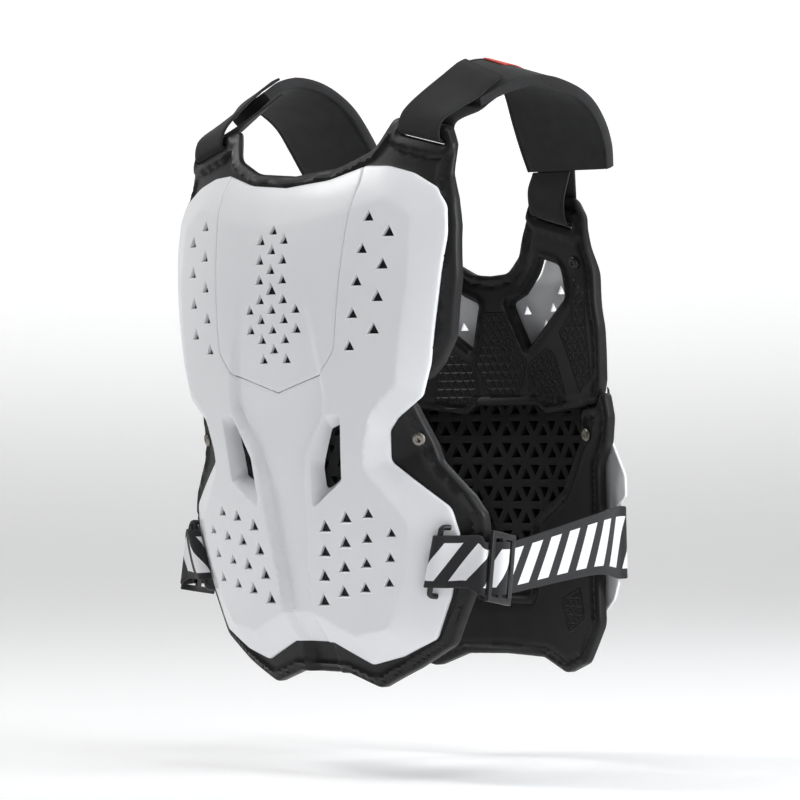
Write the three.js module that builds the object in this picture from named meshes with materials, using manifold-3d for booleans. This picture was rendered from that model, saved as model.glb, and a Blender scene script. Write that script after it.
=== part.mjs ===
// Roost deflector: a chest and back protector, held as it is worn.
// Millimetres. The origin is where it rests on the shoulders, midway between the two shoulder pads.
// +X runs to one side, -Y is the chest side, +Y is the back side, +Z is up.
import * as THREE from 'three';
import { mergeVertices } from 'three/addons/utils/BufferGeometryUtils.js';
import Module from 'manifold-3d';

const wasm = await Module();
wasm.setup();

// Clearances between pieces
const seatGap = 0.4;
const seamGap = 0.5;

// Front plate
const front = {
  halfWidth: 158,
  reach: 467,
  chestDepth: 154,
  bow: 31.9,
  edgeDrop: 15,
  channelDepth: 8.5,
  shellWall: 3.5,
  linerWall: 10,
  netWall: 9,
  gridTop: 0.135,
  gridStep: 0.062,
  earWall: 6,
  neckSlope: 0.15,
};

// Back plate
const back = {
  halfWidth: 140,
  reach: 482,
  depth: 126,
  bow: 25.5,
  padWall: 11,
  earWall: 6,
  shellWall: 3.5,
  netWall: 13,
  gridTop: 0.16,
  gridStep: 0.07,
  shellStandOff: 3,
};

const hole = { height: 9.5, width: 9, taper: 0.62 };
const slot = { length: 45, height: 7.2, ringWidth: 9, ringHeight: 2.5 };
const rivet = { head: 5.5, height: 2.2, bore: 1.8, boreDepth: 1.2 };
const webbing = { width: 39.5, thickness: 2.2, frontRise: 15, backRise: 18, bend: 2.2 };
const strap = { width: 41.5, backWidth: 60, thickness: 2.4, loopLength: 32, bellyOut: 18, bellyLength: 45 };
const hook = { thickness: 4.6, standOff: 7, over: 6.5, turn: 3 };
const slider = { length: 56, width: 33, bar: 5, endBar: 5, thickness: 3.2 };
const clip = { overhang: 7, width: 11, thickness: 3.6 };
const shoulderPad = {
  thickness: 9,
  tagThickness: 1,
  halfWidth: 1.165 * front.halfWidth,
  depth: 0.4286 * front.chestDepth,
  height: 0.135 * front.reach,
};

const finish = {
  whiteShell: { color: 0xeceef2, roughness: 0.3, metalness: 0 },
  foam: { color: 0x242526, roughness: 0.75, metalness: 0 },
  net: { color: 0x161617, roughness: 0.85, metalness: 0 },
  webbing: { color: 0x101011, roughness: 0.95, metalness: 0 },
  padCloth: { color: 0x1b1b1c, roughness: 0.9, metalness: 0 },
  elastic: { color: 0x29292c, roughness: 0.85, metalness: 0 },
  tag: { color: 0xc23a35, roughness: 0.7, metalness: 0 },
  metal: { color: 0x8c8a86, roughness: 0.4, metalness: 0.9 },
  blackPlastic: { color: 0x151515, roughness: 0.5, metalness: 0 },
  clipPlastic: { color: 0x77787a, roughness: 0.5, metalness: 0 },
};

// Tables along the plates. drop is the share of the plate's reach below the shoulders.
const frontProfile = [
  { drop: 0.06, depth: 0.845, bow: 0.4 },
  { drop: 0.17, depth: 0.925, bow: 0.9 },
  { drop: 0.235, depth: 0.965, bow: 1 },
  { drop: 0.32, depth: 0.993, bow: 1 },
  { drop: 0.41, depth: 1, bow: 1 },
  { drop: 0.49, depth: 0.989, bow: 1 },
  { drop: 0.58, depth: 0.962, bow: 1 },
  { drop: 0.66, depth: 0.929, bow: 1 },
  { drop: 0.75, depth: 0.883, bow: 1 },
  { drop: 0.86, depth: 0.826, bow: 1 },
  { drop: 1.04, depth: 0.738, bow: 1 },
];
// Slope of the liners outside the shell's outline
const frontSlope = [
  { drop: 0.1, slope: 0.15 },
  { drop: 0.17, slope: 0.17 },
  { drop: 0.24, slope: 0.3 },
  { drop: 0.48, slope: 0.3 },
  { drop: 0.57, slope: 0.2 },
  { drop: 0.8, slope: 0.18 },
  { drop: 0.9, slope: 0.03 },
  { drop: 1.04, slope: 0 },
];
const frontEdgeDrop = [
  { drop: 0.15, share: 0.6 },
  { drop: 0.21, share: 0.4 },
  { drop: 0.52, share: 0.66 },
  { drop: 0.75, share: 0.82 },
  { drop: 0.98, share: 1.0 },
];
const channelTable = [
  { drop: 0.235, edge: 0.18, wall: 0.05, depth: -0.06 },
  { drop: 0.32, edge: 0.235, wall: 0.055, depth: -0.06 },
  { drop: 0.39, edge: 0.28, wall: 0.055, depth: 0.22 },
  { drop: 0.475, edge: 0.33, wall: 0.05, depth: 0.5 },
  { drop: 0.53, edge: 0.35, wall: 0.045, depth: 0.7 },
  { drop: 0.565, edge: 0.335, wall: 0.04, depth: 0.85 },
  { drop: 0.645, edge: 0.19, wall: 0.035, depth: 0.94 },
  { drop: 0.73, edge: 0.155, wall: 0.032, depth: 0.97 },
  { drop: 0.91, edge: 0.104, wall: 0.03, depth: 1.0 },
  { drop: 1.0, edge: 0.12, wall: 0.03, depth: 1.0 },
];

// Half outlines from the middle of the top to the middle of the bottom.
// out is the share of the half width, drop the share of the reach, round the corner radius.
const shellOutline = [
  { out: 0, drop: 0.178, round: 0 },
  { out: 0.29, drop: 0.169, round: 60 },
  { out: 0.51, drop: 0.147, round: 6 },
  { out: 0.64, drop: 0.149, round: 25 },
  { out: 0.79, drop: 0.163, round: 30 },
  { out: 0.93, drop: 0.19, round: 14 },
  { out: 0.985, drop: 0.222, round: 12 },
  { out: 0.997, drop: 0.27, round: 40 },
  { out: 0.96, drop: 0.375, round: 80 },
  { out: 0.91, drop: 0.485, round: 40 },
  { out: 0.855, drop: 0.54, round: 8 },
  { out: 0.71, drop: 0.577, round: 8 },
  { out: 0.66, drop: 0.598, round: 6 },
  { out: 0.645, drop: 0.65, round: 7 },
  { out: 0.935, drop: 0.728, round: 12 },
  { out: 0.96, drop: 0.775, round: 14 },
  { out: 0.875, drop: 0.878, round: 30 },
  { out: 0.77, drop: 0.952, round: 8 },
  { out: 0.57, drop: 0.984, round: 10 },
  { out: 0.386, drop: 1.0, round: 7 },
  { out: 0.145, drop: 0.964, round: 5 },
  { out: 0, drop: 0.964, round: 0 },
];
const creaseOutline = [
  { out: 0, drop: 0.25, round: 0 },
  { out: 0.45, drop: 0.23, round: 30 },
  { out: 0.69, drop: 0.204, round: 12 },
  { out: 0.83, drop: 0.238, round: 6 },
  { out: 0.84, drop: 0.345, round: 20 },
  { out: 0.76, drop: 0.52, round: 6 },
  { out: 0.61, drop: 0.569, round: 4 },
  { out: 0.545, drop: 0.63, round: 4 },
  { out: 0.54, drop: 0.667, round: 4 },
  { out: 0.755, drop: 0.755, round: 4 },
  { out: 0.735, drop: 0.812, round: 6 },
  { out: 0.64, drop: 0.898, round: 6 },
  { out: 0.57, drop: 0.936, round: 3 },
  { out: 0.37, drop: 0.948, round: 3 },
  { out: 0.11, drop: 0.911, round: 3 },
  { out: 0, drop: 0.911, round: 0 },
];
const panelOutline = [
  { out: 0, drop: 0.1, round: 0 },
  { out: 0.49, drop: 0.1, round: 0 },
  { out: 0.49, drop: 0.15, round: 0 },
  { out: 0.505, drop: 0.175, round: 5 },
  { out: 0.475, drop: 0.26, round: 60 },
  { out: 0.435, drop: 0.42, round: 30 },
  { out: 0.42, drop: 0.462, round: 12 },
  { out: 0.325, drop: 0.5, round: 6 },
  { out: 0, drop: 0.532, round: 0 },
];
const windowRim = [
  { out: 0.345, drop: 0.573 },
  { out: 0.437, drop: 0.573 },
  { out: 0.405, drop: 0.685 },
  { out: 0.2, drop: 0.732 },
  { out: 0.222, drop: 0.645 },
];
const windowFloor = [
  { out: 0.32, drop: 0.594 },
  { out: 0.405, drop: 0.582 },
  { out: 0.367, drop: 0.674 },
  { out: 0.234, drop: 0.7 },
  { out: 0.24, drop: 0.66 },
];
const upperLinerOutline = [
  { out: 0, drop: 0.156, round: 0 },
  { out: 0.3, drop: 0.147, round: 50 },
  { out: 0.5, drop: 0.118, round: 18 },
  { out: 0.575, drop: 0.062, round: 8 },
  { out: 0.925, drop: 0.083, round: 8 },
  { out: 0.965, drop: 0.115, round: 10 },
  { out: 0.963, drop: 0.165, round: 8 },
  { out: 1, drop: 0.208, round: 14 },
  { out: 1.02, drop: 0.255, round: 30 },
  { out: 1.028, drop: 0.34, round: 60 },
  { out: 0.996, drop: 0.44, round: 30 },
  { out: 0.935, drop: 0.485, round: 14 },
  { out: 0.87, drop: 0.512, round: 6 },
  { out: 0.5, drop: 0.525, round: 4 },
  { out: 0, drop: 0.525, round: 0 },
];
const lowerLinerOutline = [
  { out: 0, drop: 0.528, round: 0 },
  { out: 0.5, drop: 0.528, round: 4 },
  { out: 0.76, drop: 0.528, round: 6 },
  { out: 0.8, drop: 0.575, round: 8 },
  { out: 0.87, drop: 0.65, round: 10 },
  { out: 1.01, drop: 0.706, round: 12 },
  { out: 1.06, drop: 0.74, round: 12 },
  { out: 1.06, drop: 0.775, round: 14 },
  { out: 0.95, drop: 0.88, round: 30 },
  { out: 0.83, drop: 0.962, round: 12 },
  { out: 0.62, drop: 1.004, round: 16 },
  { out: 0.385, drop: 1.041, round: 9 },
  { out: 0.18, drop: 1.018, round: 6 },
  { out: 0, drop: 1.018, round: 0 },
];
const netPadOutline = [
  { out: 0, drop: 0.535, round: 0 },
  { out: 0.52, drop: 0.535, round: 6 },
  { out: 0.52, drop: 0.765, round: 6 },
  { out: 0, drop: 0.765, round: 0 },
];
const linerOpening = [
  { out: 0.1, drop: 0.56, round: 4 },
  { out: 0.46, drop: 0.56, round: 4 },
  { out: 0.44, drop: 0.69, round: 4 },
  { out: 0.1, drop: 0.74, round: 4 },
];

// Rows of triangular holes in the front shell
const centreHoles = { topDrop: 0.2535, pitch: 8, rows: 14, out: 13.4, wideRows: [8, 10], bigRow: 6 };
const chestHoles = { topDrop: 0.237, pitch: 25.6, rows: 5, out: 95.7, lean: -3.5, stagger: 12.6, step: 19 };
const lobeHoles = {
  topDrop: 0.764, rowPitch: 19.8, rows: 4, lean: -3.6,
  columns: [
    { out: 42, rise: 0, size: 1.12 },
    { out: 64, rise: 7.4, size: 1.05 },
    { out: 85.5, rise: 11, size: 0.95 },
    { out: 104.5, rise: 15.6, size: 0.85 },
  ],
};

// Back plate tables
const backProfile = [
  { drop: 0.17, depth: 0.62, bow: 0.1 },
  { drop: 0.23, depth: 0.665, bow: 0.12 },
  { drop: 0.27, depth: 0.745, bow: 0.32 },
  { drop: 0.304, depth: 0.815, bow: 0.5 },
  { drop: 0.37, depth: 0.858, bow: 0.8 },
  { drop: 0.45, depth: 0.925, bow: 0.93 },
  { drop: 0.535, depth: 0.973, bow: 1 },
  { drop: 0.66, depth: 0.996, bow: 1 },
  { drop: 0.72, depth: 1, bow: 1 },
  { drop: 1, depth: 0.97, bow: 1 },
];
const upperPadOutline = [
  { out: 0, drop: 0.303, round: 0 },
  { out: 0.15, drop: 0.3, round: 22 },
  { out: 0.3, drop: 0.272, round: 22 },
  { out: 0.42, drop: 0.225, round: 20 },
  { out: 0.52, drop: 0.172, round: 9 },
  { out: 0.87, drop: 0.18, round: 10 },
  { out: 0.925, drop: 0.212, round: 12 },
  { out: 0.9, drop: 0.262, round: 10 },
  { out: 0.905, drop: 0.29, round: 10 },
  { out: 0.92, drop: 0.33, round: 20 },
  { out: 0.96, drop: 0.4, round: 40 },
  { out: 0.925, drop: 0.49, round: 10 },
  { out: 0.87, drop: 0.53, round: 8 },
  { out: 0.34, drop: 0.548, round: 6 },
  { out: 0.25, drop: 0.532, round: 6 },
  { out: 0, drop: 0.532, round: 0 },
];
const padWindow = [
  { out: 0.47, drop: 0.277, round: 4 },
  { out: 0.61, drop: 0.29, round: 6 },
  { out: 0.64, drop: 0.348, round: 6 },
  { out: 0.23, drop: 0.436, round: 3 },
  { out: 0.12, drop: 0.352, round: 4 },
  { out: 0.24, drop: 0.338, round: 5 },
];
const lowerPadOutline = [
  { out: 0.7, drop: 0.541, round: 3 },
  { out: 0.86, drop: 0.536, round: 4 },
  { out: 0.9, drop: 0.515, round: 6 },
  { out: 0.955, drop: 0.512, round: 8 },
  { out: 0.99, drop: 0.555, round: 16 },
  { out: 0.96, drop: 0.6, round: 12 },
  { out: 0.865, drop: 0.635, round: 20 },
  { out: 0.865, drop: 0.75, round: 40 },
  { out: 0.868, drop: 0.85, round: 30 },
  { out: 0.895, drop: 0.912, round: 16 },
  { out: 0.74, drop: 0.98, round: 12 },
  { out: 0.55, drop: 1, round: 12 },
  { out: 0.33, drop: 0.975, round: 16 },
  { out: 0, drop: 0.972, round: 0 },
];
const lowerPadInner = [
  { out: 0, drop: 0.868, round: 0 },
  { out: 0.2, drop: 0.868, round: 4 },
  { out: 0.2, drop: 0.735, round: 8 },
  { out: 0.49, drop: 0.68, round: 8 },
  { out: 0.68, drop: 0.59, round: 6 },
];
const backNetOutline = [
  { out: 0, drop: 0.5, round: 0 },
  { out: 0.82, drop: 0.5, round: 5 },
  { out: 0.8, drop: 0.605, round: 6 },
  { out: 0.58, drop: 0.7, round: 6 },
  { out: 0.31, drop: 0.757, round: 6 },
  { out: 0.31, drop: 0.885, round: 5 },
  { out: 0, drop: 0.885, round: 0 },
];
const backShellOutline = [
  { out: 0, drop: 0.33, round: 0 },
  { out: 0.3, drop: 0.315, round: 20 },
  { out: 0.5, drop: 0.255, round: 14 },
  { out: 0.78, drop: 0.268, round: 12 },
  { out: 0.84, drop: 0.315, round: 12 },
  { out: 0.86, drop: 0.45, round: 20 },
  { out: 0.84, drop: 0.53, round: 8 },
  { out: 0.87, drop: 0.588, round: 8 },
  { out: 1.03, drop: 0.655, round: 8 },
  { out: 1.035, drop: 0.69, round: 5 },
  { out: 0.93, drop: 0.708, round: 4 },
  { out: 0.93, drop: 0.74, round: 5 },
  { out: 0.96, drop: 0.8, round: 12 },
  { out: 0.965, drop: 0.84, round: 10 },
  { out: 0.92, drop: 0.87, round: 10 },
  { out: 0.76, drop: 0.905, round: 12 },
  { out: 0.55, drop: 0.94, round: 10 },
  { out: 0.3, drop: 0.93, round: 10 },
  { out: 0, drop: 0.93, round: 0 },
];
const backShellHoles = [
  { out: 0.51, drop: 0.333 },
  { out: 0.43, drop: 0.362 },
  { out: 0.35, drop: 0.39 },
  { out: 0.195, drop: 0.365 },
];
const net = {
  pitch: 22,
  rowPitch: 19,
  holeWidth: 14.5,
  holeHeight: 12.5,
  topDrop: 0.558,
  span: 0.31,
  edge: 5,
};

// Stations of the shoulder pad from its front end to its back end: the place along the pad's depth,
// and its inner and outer edges as shares of its half width and height
const padStations = [
  { along: -0.924, inner: 0.582, innerRise: 0.111, outer: 0.793, outerRise: -0.238 },
  { along: -0.636, inner: 0.582, innerRise: 0.286, outer: 0.859, outerRise: -0.048 },
  { along: -0.227, inner: 0.582, innerRise: 0.365, outer: 0.929, outerRise: 0.079 },
  { along: 0.152, inner: 0.549, innerRise: 0.27, outer: 0.973, outerRise: 0 },
  { along: 0.455, inner: 0.5, innerRise: 0.016, outer: 0.995, outerRise: -0.159 },
  { along: 0.697, inner: 0.467, innerRise: -0.349, outer: 1, outerRise: -0.429 },
  { along: 0.879, inner: 0.455, innerRise: -0.683, outer: 0.985, outerRise: -0.73 },
  { along: 1, inner: 0.462, innerRise: -0.968, outer: 0.955, outerRise: -1 },
];

function toSolid(geometry) {
  const bare = geometry.clone();
  bare.deleteAttribute('normal');
  bare.deleteAttribute('uv');
  const merged = mergeVertices(bare, 1e-4);
  const vertProperties = new Float32Array(merged.attributes.position.array);
  const triVerts = new Uint32Array(merged.index.array);
  return new wasm.Manifold(new wasm.Mesh({ numProp: 3, vertProperties, triVerts }));
}

function toGeometry(solid) {
  const mesh = solid.getMesh();
  const geometry = new THREE.BufferGeometry();
  geometry.setAttribute('position', new THREE.BufferAttribute(new Float32Array(mesh.vertProperties), 3));
  geometry.setIndex(new THREE.BufferAttribute(new Uint32Array(mesh.triVerts), 1));
  return geometry;
}

// Smooth value of a named column at a given drop
function along(table, column, drop) {
  const last = table.length - 1;
  if (drop <= table[0].drop) {
    const slope = (table[1][column] - table[0][column]) / (table[1].drop - table[0].drop);
    return table[0][column] + slope * (drop - table[0].drop);
  }
  if (drop >= table[last].drop) {
    return table[last][column];
  }
  let row = 0;
  while (table[row + 1].drop < drop) {
    row += 1;
  }
  const before = table[Math.max(row - 1, 0)];
  const from = table[row];
  const to = table[row + 1];
  const after = table[Math.min(row + 2, last)];
  const span = to.drop - from.drop;
  const t = (drop - from.drop) / span;
  const slopeFrom = ((to[column] - before[column]) / (to.drop - before.drop)) * span;
  const slopeTo = ((after[column] - from[column]) / (after.drop - from.drop)) * span;
  const t2 = t * t;
  const t3 = t2 * t;
  const start = (2 * t3 - 3 * t2 + 1) * from[column] + (t3 - 2 * t2 + t) * slopeFrom;
  return start + (3 * t2 - 2 * t3) * to[column] + (t3 - t2) * slopeTo;
}

// Points of an outline in millimetres, with its corners rounded by short curves
function roundCorners(rows, halfWidth, reach, steps = 2) {
  const corners = rows.map((row) => new THREE.Vector2(row.out * halfWidth, -row.drop * reach));
  const points = [];
  corners.forEach((corner, index) => {
    const radius = rows[index].round ?? 0;
    const before = corners[index - 1];
    const after = corners[index + 1];
    if (!radius || !before || !after) {
      points.push(corner);
      return;
    }
    const into = before.clone().sub(corner);
    const onward = after.clone().sub(corner);
    const half = Math.acos(into.dot(onward) / (into.length() * onward.length())) / 2;
    const reachAlong = Math.min(radius / Math.tan(half), into.length() * 0.45, onward.length() * 0.45);
    const start = corner.clone().add(into.setLength(reachAlong));
    const end = corner.clone().add(onward.setLength(reachAlong));
    const curve = new THREE.QuadraticBezierCurve(start, corner, end);
    points.push(...curve.getPoints(steps));
  });
  return points;
}

function closedCorners(rows, halfWidth, reach) {
  const count = rows.length;
  const looped = [rows[count - 1], ...rows, rows[0]];
  return roundCorners(looped, halfWidth, reach).slice(1, -1);
}

function mirrored(half) {
  const others = half.filter((point) => point.x > 1e-6).map((point) => new THREE.Vector2(-point.x, point.y));
  return [...half, ...others.reverse()];
}

function flipped(points) {
  return points.map((point) => new THREE.Vector2(-point.x, point.y)).reverse();
}

// A prism through both plates, with its outline seen along Y
function prism(points) {
  const farY = 2 * front.chestDepth;
  const shape = new THREE.Shape(points);
  const geometry = new THREE.ExtrudeGeometry(shape, { depth: 2 * farY, bevelEnabled: false, steps: 1 });
  geometry.rotateX(Math.PI / 2);
  geometry.translate(0, farY, 0);
  return toSolid(geometry);
}

// A closed body between two loops of points in space, with as many points in each
function loft(loops) {
  const count = loops[0].length;
  const positions = loops.flat().flatMap((point) => [point.x, point.y, point.z]);
  const index = [];
  for (let level = 0; level + 1 < loops.length; level += 1) {
    for (let side = 0; side < count; side += 1) {
      const a = level * count + side;
      const b = level * count + ((side + 1) % count);
      index.push(a, b, b + count, a, b + count, a + count);
    }
  }
  const flat = loops[0].map((point) => new THREE.Vector2(point.x, point.z));
  const top = (loops.length - 1) * count;
  for (const [a, b, c] of THREE.ShapeUtils.triangulateShape(flat, [])) {
    index.push(a, b, c);
    index.push(a + top, c + top, b + top);
  }
  const geometry = new THREE.BufferGeometry();
  geometry.setAttribute('position', new THREE.Float32BufferAttribute(positions, 3));
  geometry.setIndex(index);
  return toSolid(geometry);
}

// Cutter that narrows from a loop in front to a loop behind it
function taperedCutter(frontLoop, backLoop, frontY, backY) {
  const near = frontLoop.map((point) => new THREE.Vector3(point.x, frontY, point.y));
  const far = backLoop.map((point) => new THREE.Vector3(point.x, backY, point.y));
  if (THREE.ShapeUtils.area(frontLoop) > 0) {
    near.reverse();
    far.reverse();
  }
  return loft([near, far]);
}

function distanceTo(line, x, z) {
  let nearest = Infinity;
  for (let index = 0; index + 1 < line.length; index += 1) {
    const from = line[index];
    const to = line[index + 1];
    const dx = to.x - from.x;
    const dz = to.y - from.y;
    const share = ((x - from.x) * dx + (z - from.y) * dz) / (dx * dx + dz * dz);
    const held = Math.min(Math.max(share, 0), 1);
    nearest = Math.min(nearest, Math.hypot(x - from.x - held * dx, z - from.y - held * dz));
  }
  return nearest;
}

function isInside(line, x, z) {
  let inside = false;
  for (let index = 0, last = line.length - 1; index < line.length; last = index, index += 1) {
    const a = line[index];
    const b = line[last];
    const crosses = (a.y > z) !== (b.y > z);
    if (crosses && x < ((b.x - a.x) * (z - a.y)) / (b.y - a.y) + a.x) {
      inside = !inside;
    }
  }
  return inside;
}

function widthAt(line, z) {
  let widest = 0;
  for (let index = 0; index + 1 < line.length; index += 1) {
    const from = line[index];
    const to = line[index + 1];
    if ((from.y - z) * (to.y - z) <= 0 && from.y !== to.y) {
      widest = Math.max(widest, from.x + ((to.x - from.x) * (z - from.y)) / (to.y - from.y));
    }
  }
  return widest;
}

// Sheet with a thickness, whose faces follow front(x, z) and behind(x, z) over a grid
function sheet(zs, columnsAt, frontFace, backFace) {
  const rows = zs.map((z) => columnsAt(z).map((x) => [x, z]));
  const across = rows[0].length;
  const positions = [];
  for (const face of [frontFace, backFace]) {
    for (const row of rows) {
      for (const [x, z] of row) {
        positions.push(x, face(x, z), z);
      }
    }
  }
  const layer = rows.length * across;
  const index = [];
  const quad = (a, b, c, d) => index.push(a, b, c, a, c, d);
  for (let row = 0; row + 1 < rows.length; row += 1) {
    for (let col = 0; col + 1 < across; col += 1) {
      const a = row * across + col;
      quad(a, a + across, a + across + 1, a + 1);
      quad(a + layer, a + layer + 1, a + layer + across + 1, a + layer + across);
    }
  }
  for (let row = 0; row + 1 < rows.length; row += 1) {
    const left = row * across;
    const right = left + across - 1;
    quad(left, left + layer, left + layer + across, left + across);
    quad(right, right + across, right + across + layer, right + layer);
  }
  const bottom = (rows.length - 1) * across;
  for (let col = 0; col + 1 < across; col += 1) {
    quad(col, col + 1, col + 1 + layer, col + layer);
    quad(bottom + col, bottom + col + layer, bottom + col + 1 + layer, bottom + col + 1);
  }
  const geometry = new THREE.BufferGeometry();
  geometry.setAttribute('position', new THREE.Float32BufferAttribute(positions, 3));
  geometry.setIndex(index);
  return toSolid(geometry);
}

// Rows of a plate's grid, the same for all its layers, so that they stay parallel
function gridRows(plate, fromRow, toRow) {
  const list = [];
  for (let row = fromRow; row <= toRow; row += 1) {
    list.push(-plate.reach * (plate.gridTop + row * plate.gridStep));
  }
  return list;
}

function bothSides(halves) {
  return [...halves.slice().reverse().map((x) => -x), 0, ...halves];
}

const shellLine = roundCorners(shellOutline, front.halfWidth, front.reach);
const creaseLine = roundCorners(creaseOutline, front.halfWidth, front.reach);

function frontPlain(x, z) {
  const drop = -z / front.reach;
  const bow = front.bow * along(frontProfile, 'bow', drop) * (x / front.halfWidth) ** 2;
  return bow - front.chestDepth * along(frontProfile, 'depth', drop);
}

function channelAt(z) {
  const drop = Math.max(-z / front.reach, channelTable[0].drop);
  const edge = along(channelTable, 'edge', drop) * front.halfWidth;
  return {
    edge,
    foot: edge - along(channelTable, 'wall', drop) * front.halfWidth,
    depth: along(channelTable, 'depth', drop) * front.channelDepth,
  };
}

function channelSink(x, z) {
  const channel = channelAt(z);
  const fade = Math.min(Math.max((-z / front.reach - 0.2) / 0.05, 0), 1);
  const share = Math.min(Math.max((channel.edge - Math.abs(x)) / (channel.edge - channel.foot), 0), 1);
  return channel.depth * share * fade;
}

// The face of the front shell, and how far outside its outline a point lies
function frontFace(x, z) {
  const side = Math.abs(x);
  const drop = -z / front.reach;
  const edgeDrop = front.edgeDrop * along(frontEdgeDrop, 'share', drop);
  const toEdge = distanceTo(shellLine, side, z);
  if (isInside(creaseLine, side, z)) {
    return frontPlain(x, z) + channelSink(x, z);
  }
  if (!isInside(shellLine, side, z)) {
    const spread = Math.min(Math.max((side / front.halfWidth - 0.25) / 0.3, 0), 1);
    const slope = front.neckSlope + (along(frontSlope, 'slope', drop) - front.neckSlope) * spread;
    return frontPlain(x, z) + channelSink(x, z) + edgeDrop + slope * toEdge;
  }
  const toCrease = distanceTo(creaseLine, side, z);
  return frontPlain(x, z) + channelSink(x, z) + (edgeDrop * toCrease) / (toCrease + toEdge);
}

// Columns of the front grid follow the channel, the crease and the shell's edge
function frontColumns(z) {
  const level = Math.min(Math.max(z, -0.95 * front.reach), -0.2 * front.reach);
  const channel = channelAt(z);
  const edge = widthAt(shellLine, level) + 6;
  const crease = Math.min(Math.max(widthAt(creaseLine, level), edge * 0.7), edge * 0.9);
  const middle = (channel.edge + crease) / 2;
  return bothSides([channel.foot, channel.edge, middle, crease, edge, 1.12 * front.halfWidth]);
}

function triangleLoop(x, z, scale, shrink) {
  const half = (hole.width * scale * shrink) / 2;
  const tall = hole.height * scale * shrink;
  return [
    new THREE.Vector2(x - half, z - tall / 3),
    new THREE.Vector2(x + half, z - tall / 3),
    new THREE.Vector2(x, z + (tall * 2) / 3),
  ];
}

function triangleCutter(x, z, scale, face, wall) {
  const y = face(x, z);
  const overshoot = 3;
  const grow = (1 - hole.taper) / wall;
  const frontLoop = triangleLoop(x, z, scale, 1 + grow * overshoot);
  const backLoop = triangleLoop(x, z, scale, hole.taper - grow * overshoot * 0.5);
  return taperedCutter(frontLoop, backLoop, y - overshoot, y + wall + overshoot);
}

function frontHolePlaces() {
  const places = [];
  for (let row = 0; row < centreHoles.rows; row += 1) {
    const z = -centreHoles.topDrop * front.reach - row * centreHoles.pitch;
    const outs = row % 2 ? [-centreHoles.out, centreHoles.out] : [0];
    if (centreHoles.wideRows.includes(row)) {
      outs.push(-2 * centreHoles.out, 2 * centreHoles.out);
    }
    const scale = row === centreHoles.bigRow ? 1.1 : 0.9;
    outs.forEach((x) => places.push({ x, z, scale, panel: true }));
  }
  for (const side of [-1, 1]) {
    for (let row = 0; row < chestHoles.rows; row += 1) {
      const z = -chestHoles.topDrop * front.reach - row * chestHoles.pitch;
      const x = chestHoles.out + row * chestHoles.lean;
      places.push({ x: side * x, z, scale: 0.95 });
      if (row + 1 < chestHoles.rows) {
        const outerX = x + chestHoles.step;
        places.push({ x: side * outerX, z: z - chestHoles.stagger, scale: 1 });
      }
    }
    for (let row = 0; row < lobeHoles.rows; row += 1) {
      lobeHoles.columns.forEach((column, index) => {
        if (row + 1 === lobeHoles.rows && index === lobeHoles.columns.length - 1) {
          return;
        }
        const last = index === lobeHoles.columns.length - 1;
        const sink = last ? lobeHoles.rowPitch : 0;
        const z = column.rise - sink - lobeHoles.topDrop * front.reach - row * lobeHoles.rowPitch;
        places.push({ x: side * (column.out + row * lobeHoles.lean), z, scale: column.size });
      });
    }
  }
  return places;
}

function windowCutter(side) {
  const place = (row) => new THREE.Vector2(side * row.out * front.halfWidth, -row.drop * front.reach);
  const rim = windowRim.map(place);
  const floor = windowFloor.map(place);
  const y = frontPlain(0.3 * front.halfWidth, -0.64 * front.reach);
  const near = y - 0.4 * front.edgeDrop;
  const far = y + front.edgeDrop;
  const grown = rim.map((point, index) => point.clone().lerp(floor[index], -0.6));
  return taperedCutter(grown, floor, near, far);
}

function buildFrontShell() {
  const zs = gridRows(front, 0, 14);
  const behind = (x, z) => frontFace(x, z) + front.shellWall;
  let blank = sheet(zs, frontColumns, frontFace, behind);
  const panelLine = roundCorners(panelOutline, front.halfWidth, front.reach);
  const panelGrown = panelLine.map((point) => (
    new THREE.Vector2(point.x && point.x + seamGap, point.y - seamGap)
  ));
  blank = blank.intersect(prism(mirrored(shellLine)));
  let panel = blank.intersect(prism(mirrored(panelLine)));
  let shell = blank.subtract(prism(mirrored(panelGrown)));
  for (const side of [-1, 1]) {
    shell = shell.subtract(windowCutter(side));
  }
  for (const place of frontHolePlaces()) {
    const cutter = triangleCutter(place.x, place.z, place.scale, frontFace, front.shellWall);
    if (place.panel) {
      panel = panel.subtract(cutter);
    } else {
      shell = shell.subtract(cutter);
    }
  }
  return { shell: toGeometry(shell), panel: toGeometry(panel) };
}

// The liner lies behind the shell, and thins towards its ears
function linerFace(x, z) {
  return frontFace(x, z) + front.shellWall + seatGap;
}

function earShare(drop) {
  return Math.min(Math.max((drop - 0.15) / 0.08, 0), 1);
}

function linerBack(x, z) {
  const wall = front.earWall + (front.linerWall - front.earWall) * earShare(-z / front.reach);
  return linerFace(x, z) + wall;
}

// Ear of a plate: a raised ring round a slot, in the ear's own slanted line
function stadium(length, height, steps = 3) {
  const points = [];
  const run = length / 2 - height / 2;
  for (let end = 0; end < 2; end += 1) {
    for (let step = 0; step <= steps; step += 1) {
      const angle = -Math.PI / 2 + (Math.PI * step) / steps + end * Math.PI;
      const x = (end ? -run : run) + (Math.cos(angle) * height) / 2;
      points.push(new THREE.Vector2(x, (Math.sin(angle) * height) / 2));
    }
  }
  return points;
}

function slotPlace(ear, side) {
  return (points) => points.map((point) => {
    const turned = point.clone().rotateAround(new THREE.Vector2(0, 0), -ear.tilt);
    return new THREE.Vector2(side * (turned.x + ear.x), turned.y + ear.z);
  });
}

const frontEar = { x: 0.783 * front.halfWidth, z: -0.103 * front.reach, tilt: 0.25 };
const backEar = { x: 0.672 * back.halfWidth, z: -0.217 * back.reach, tilt: 0.27 };

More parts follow.
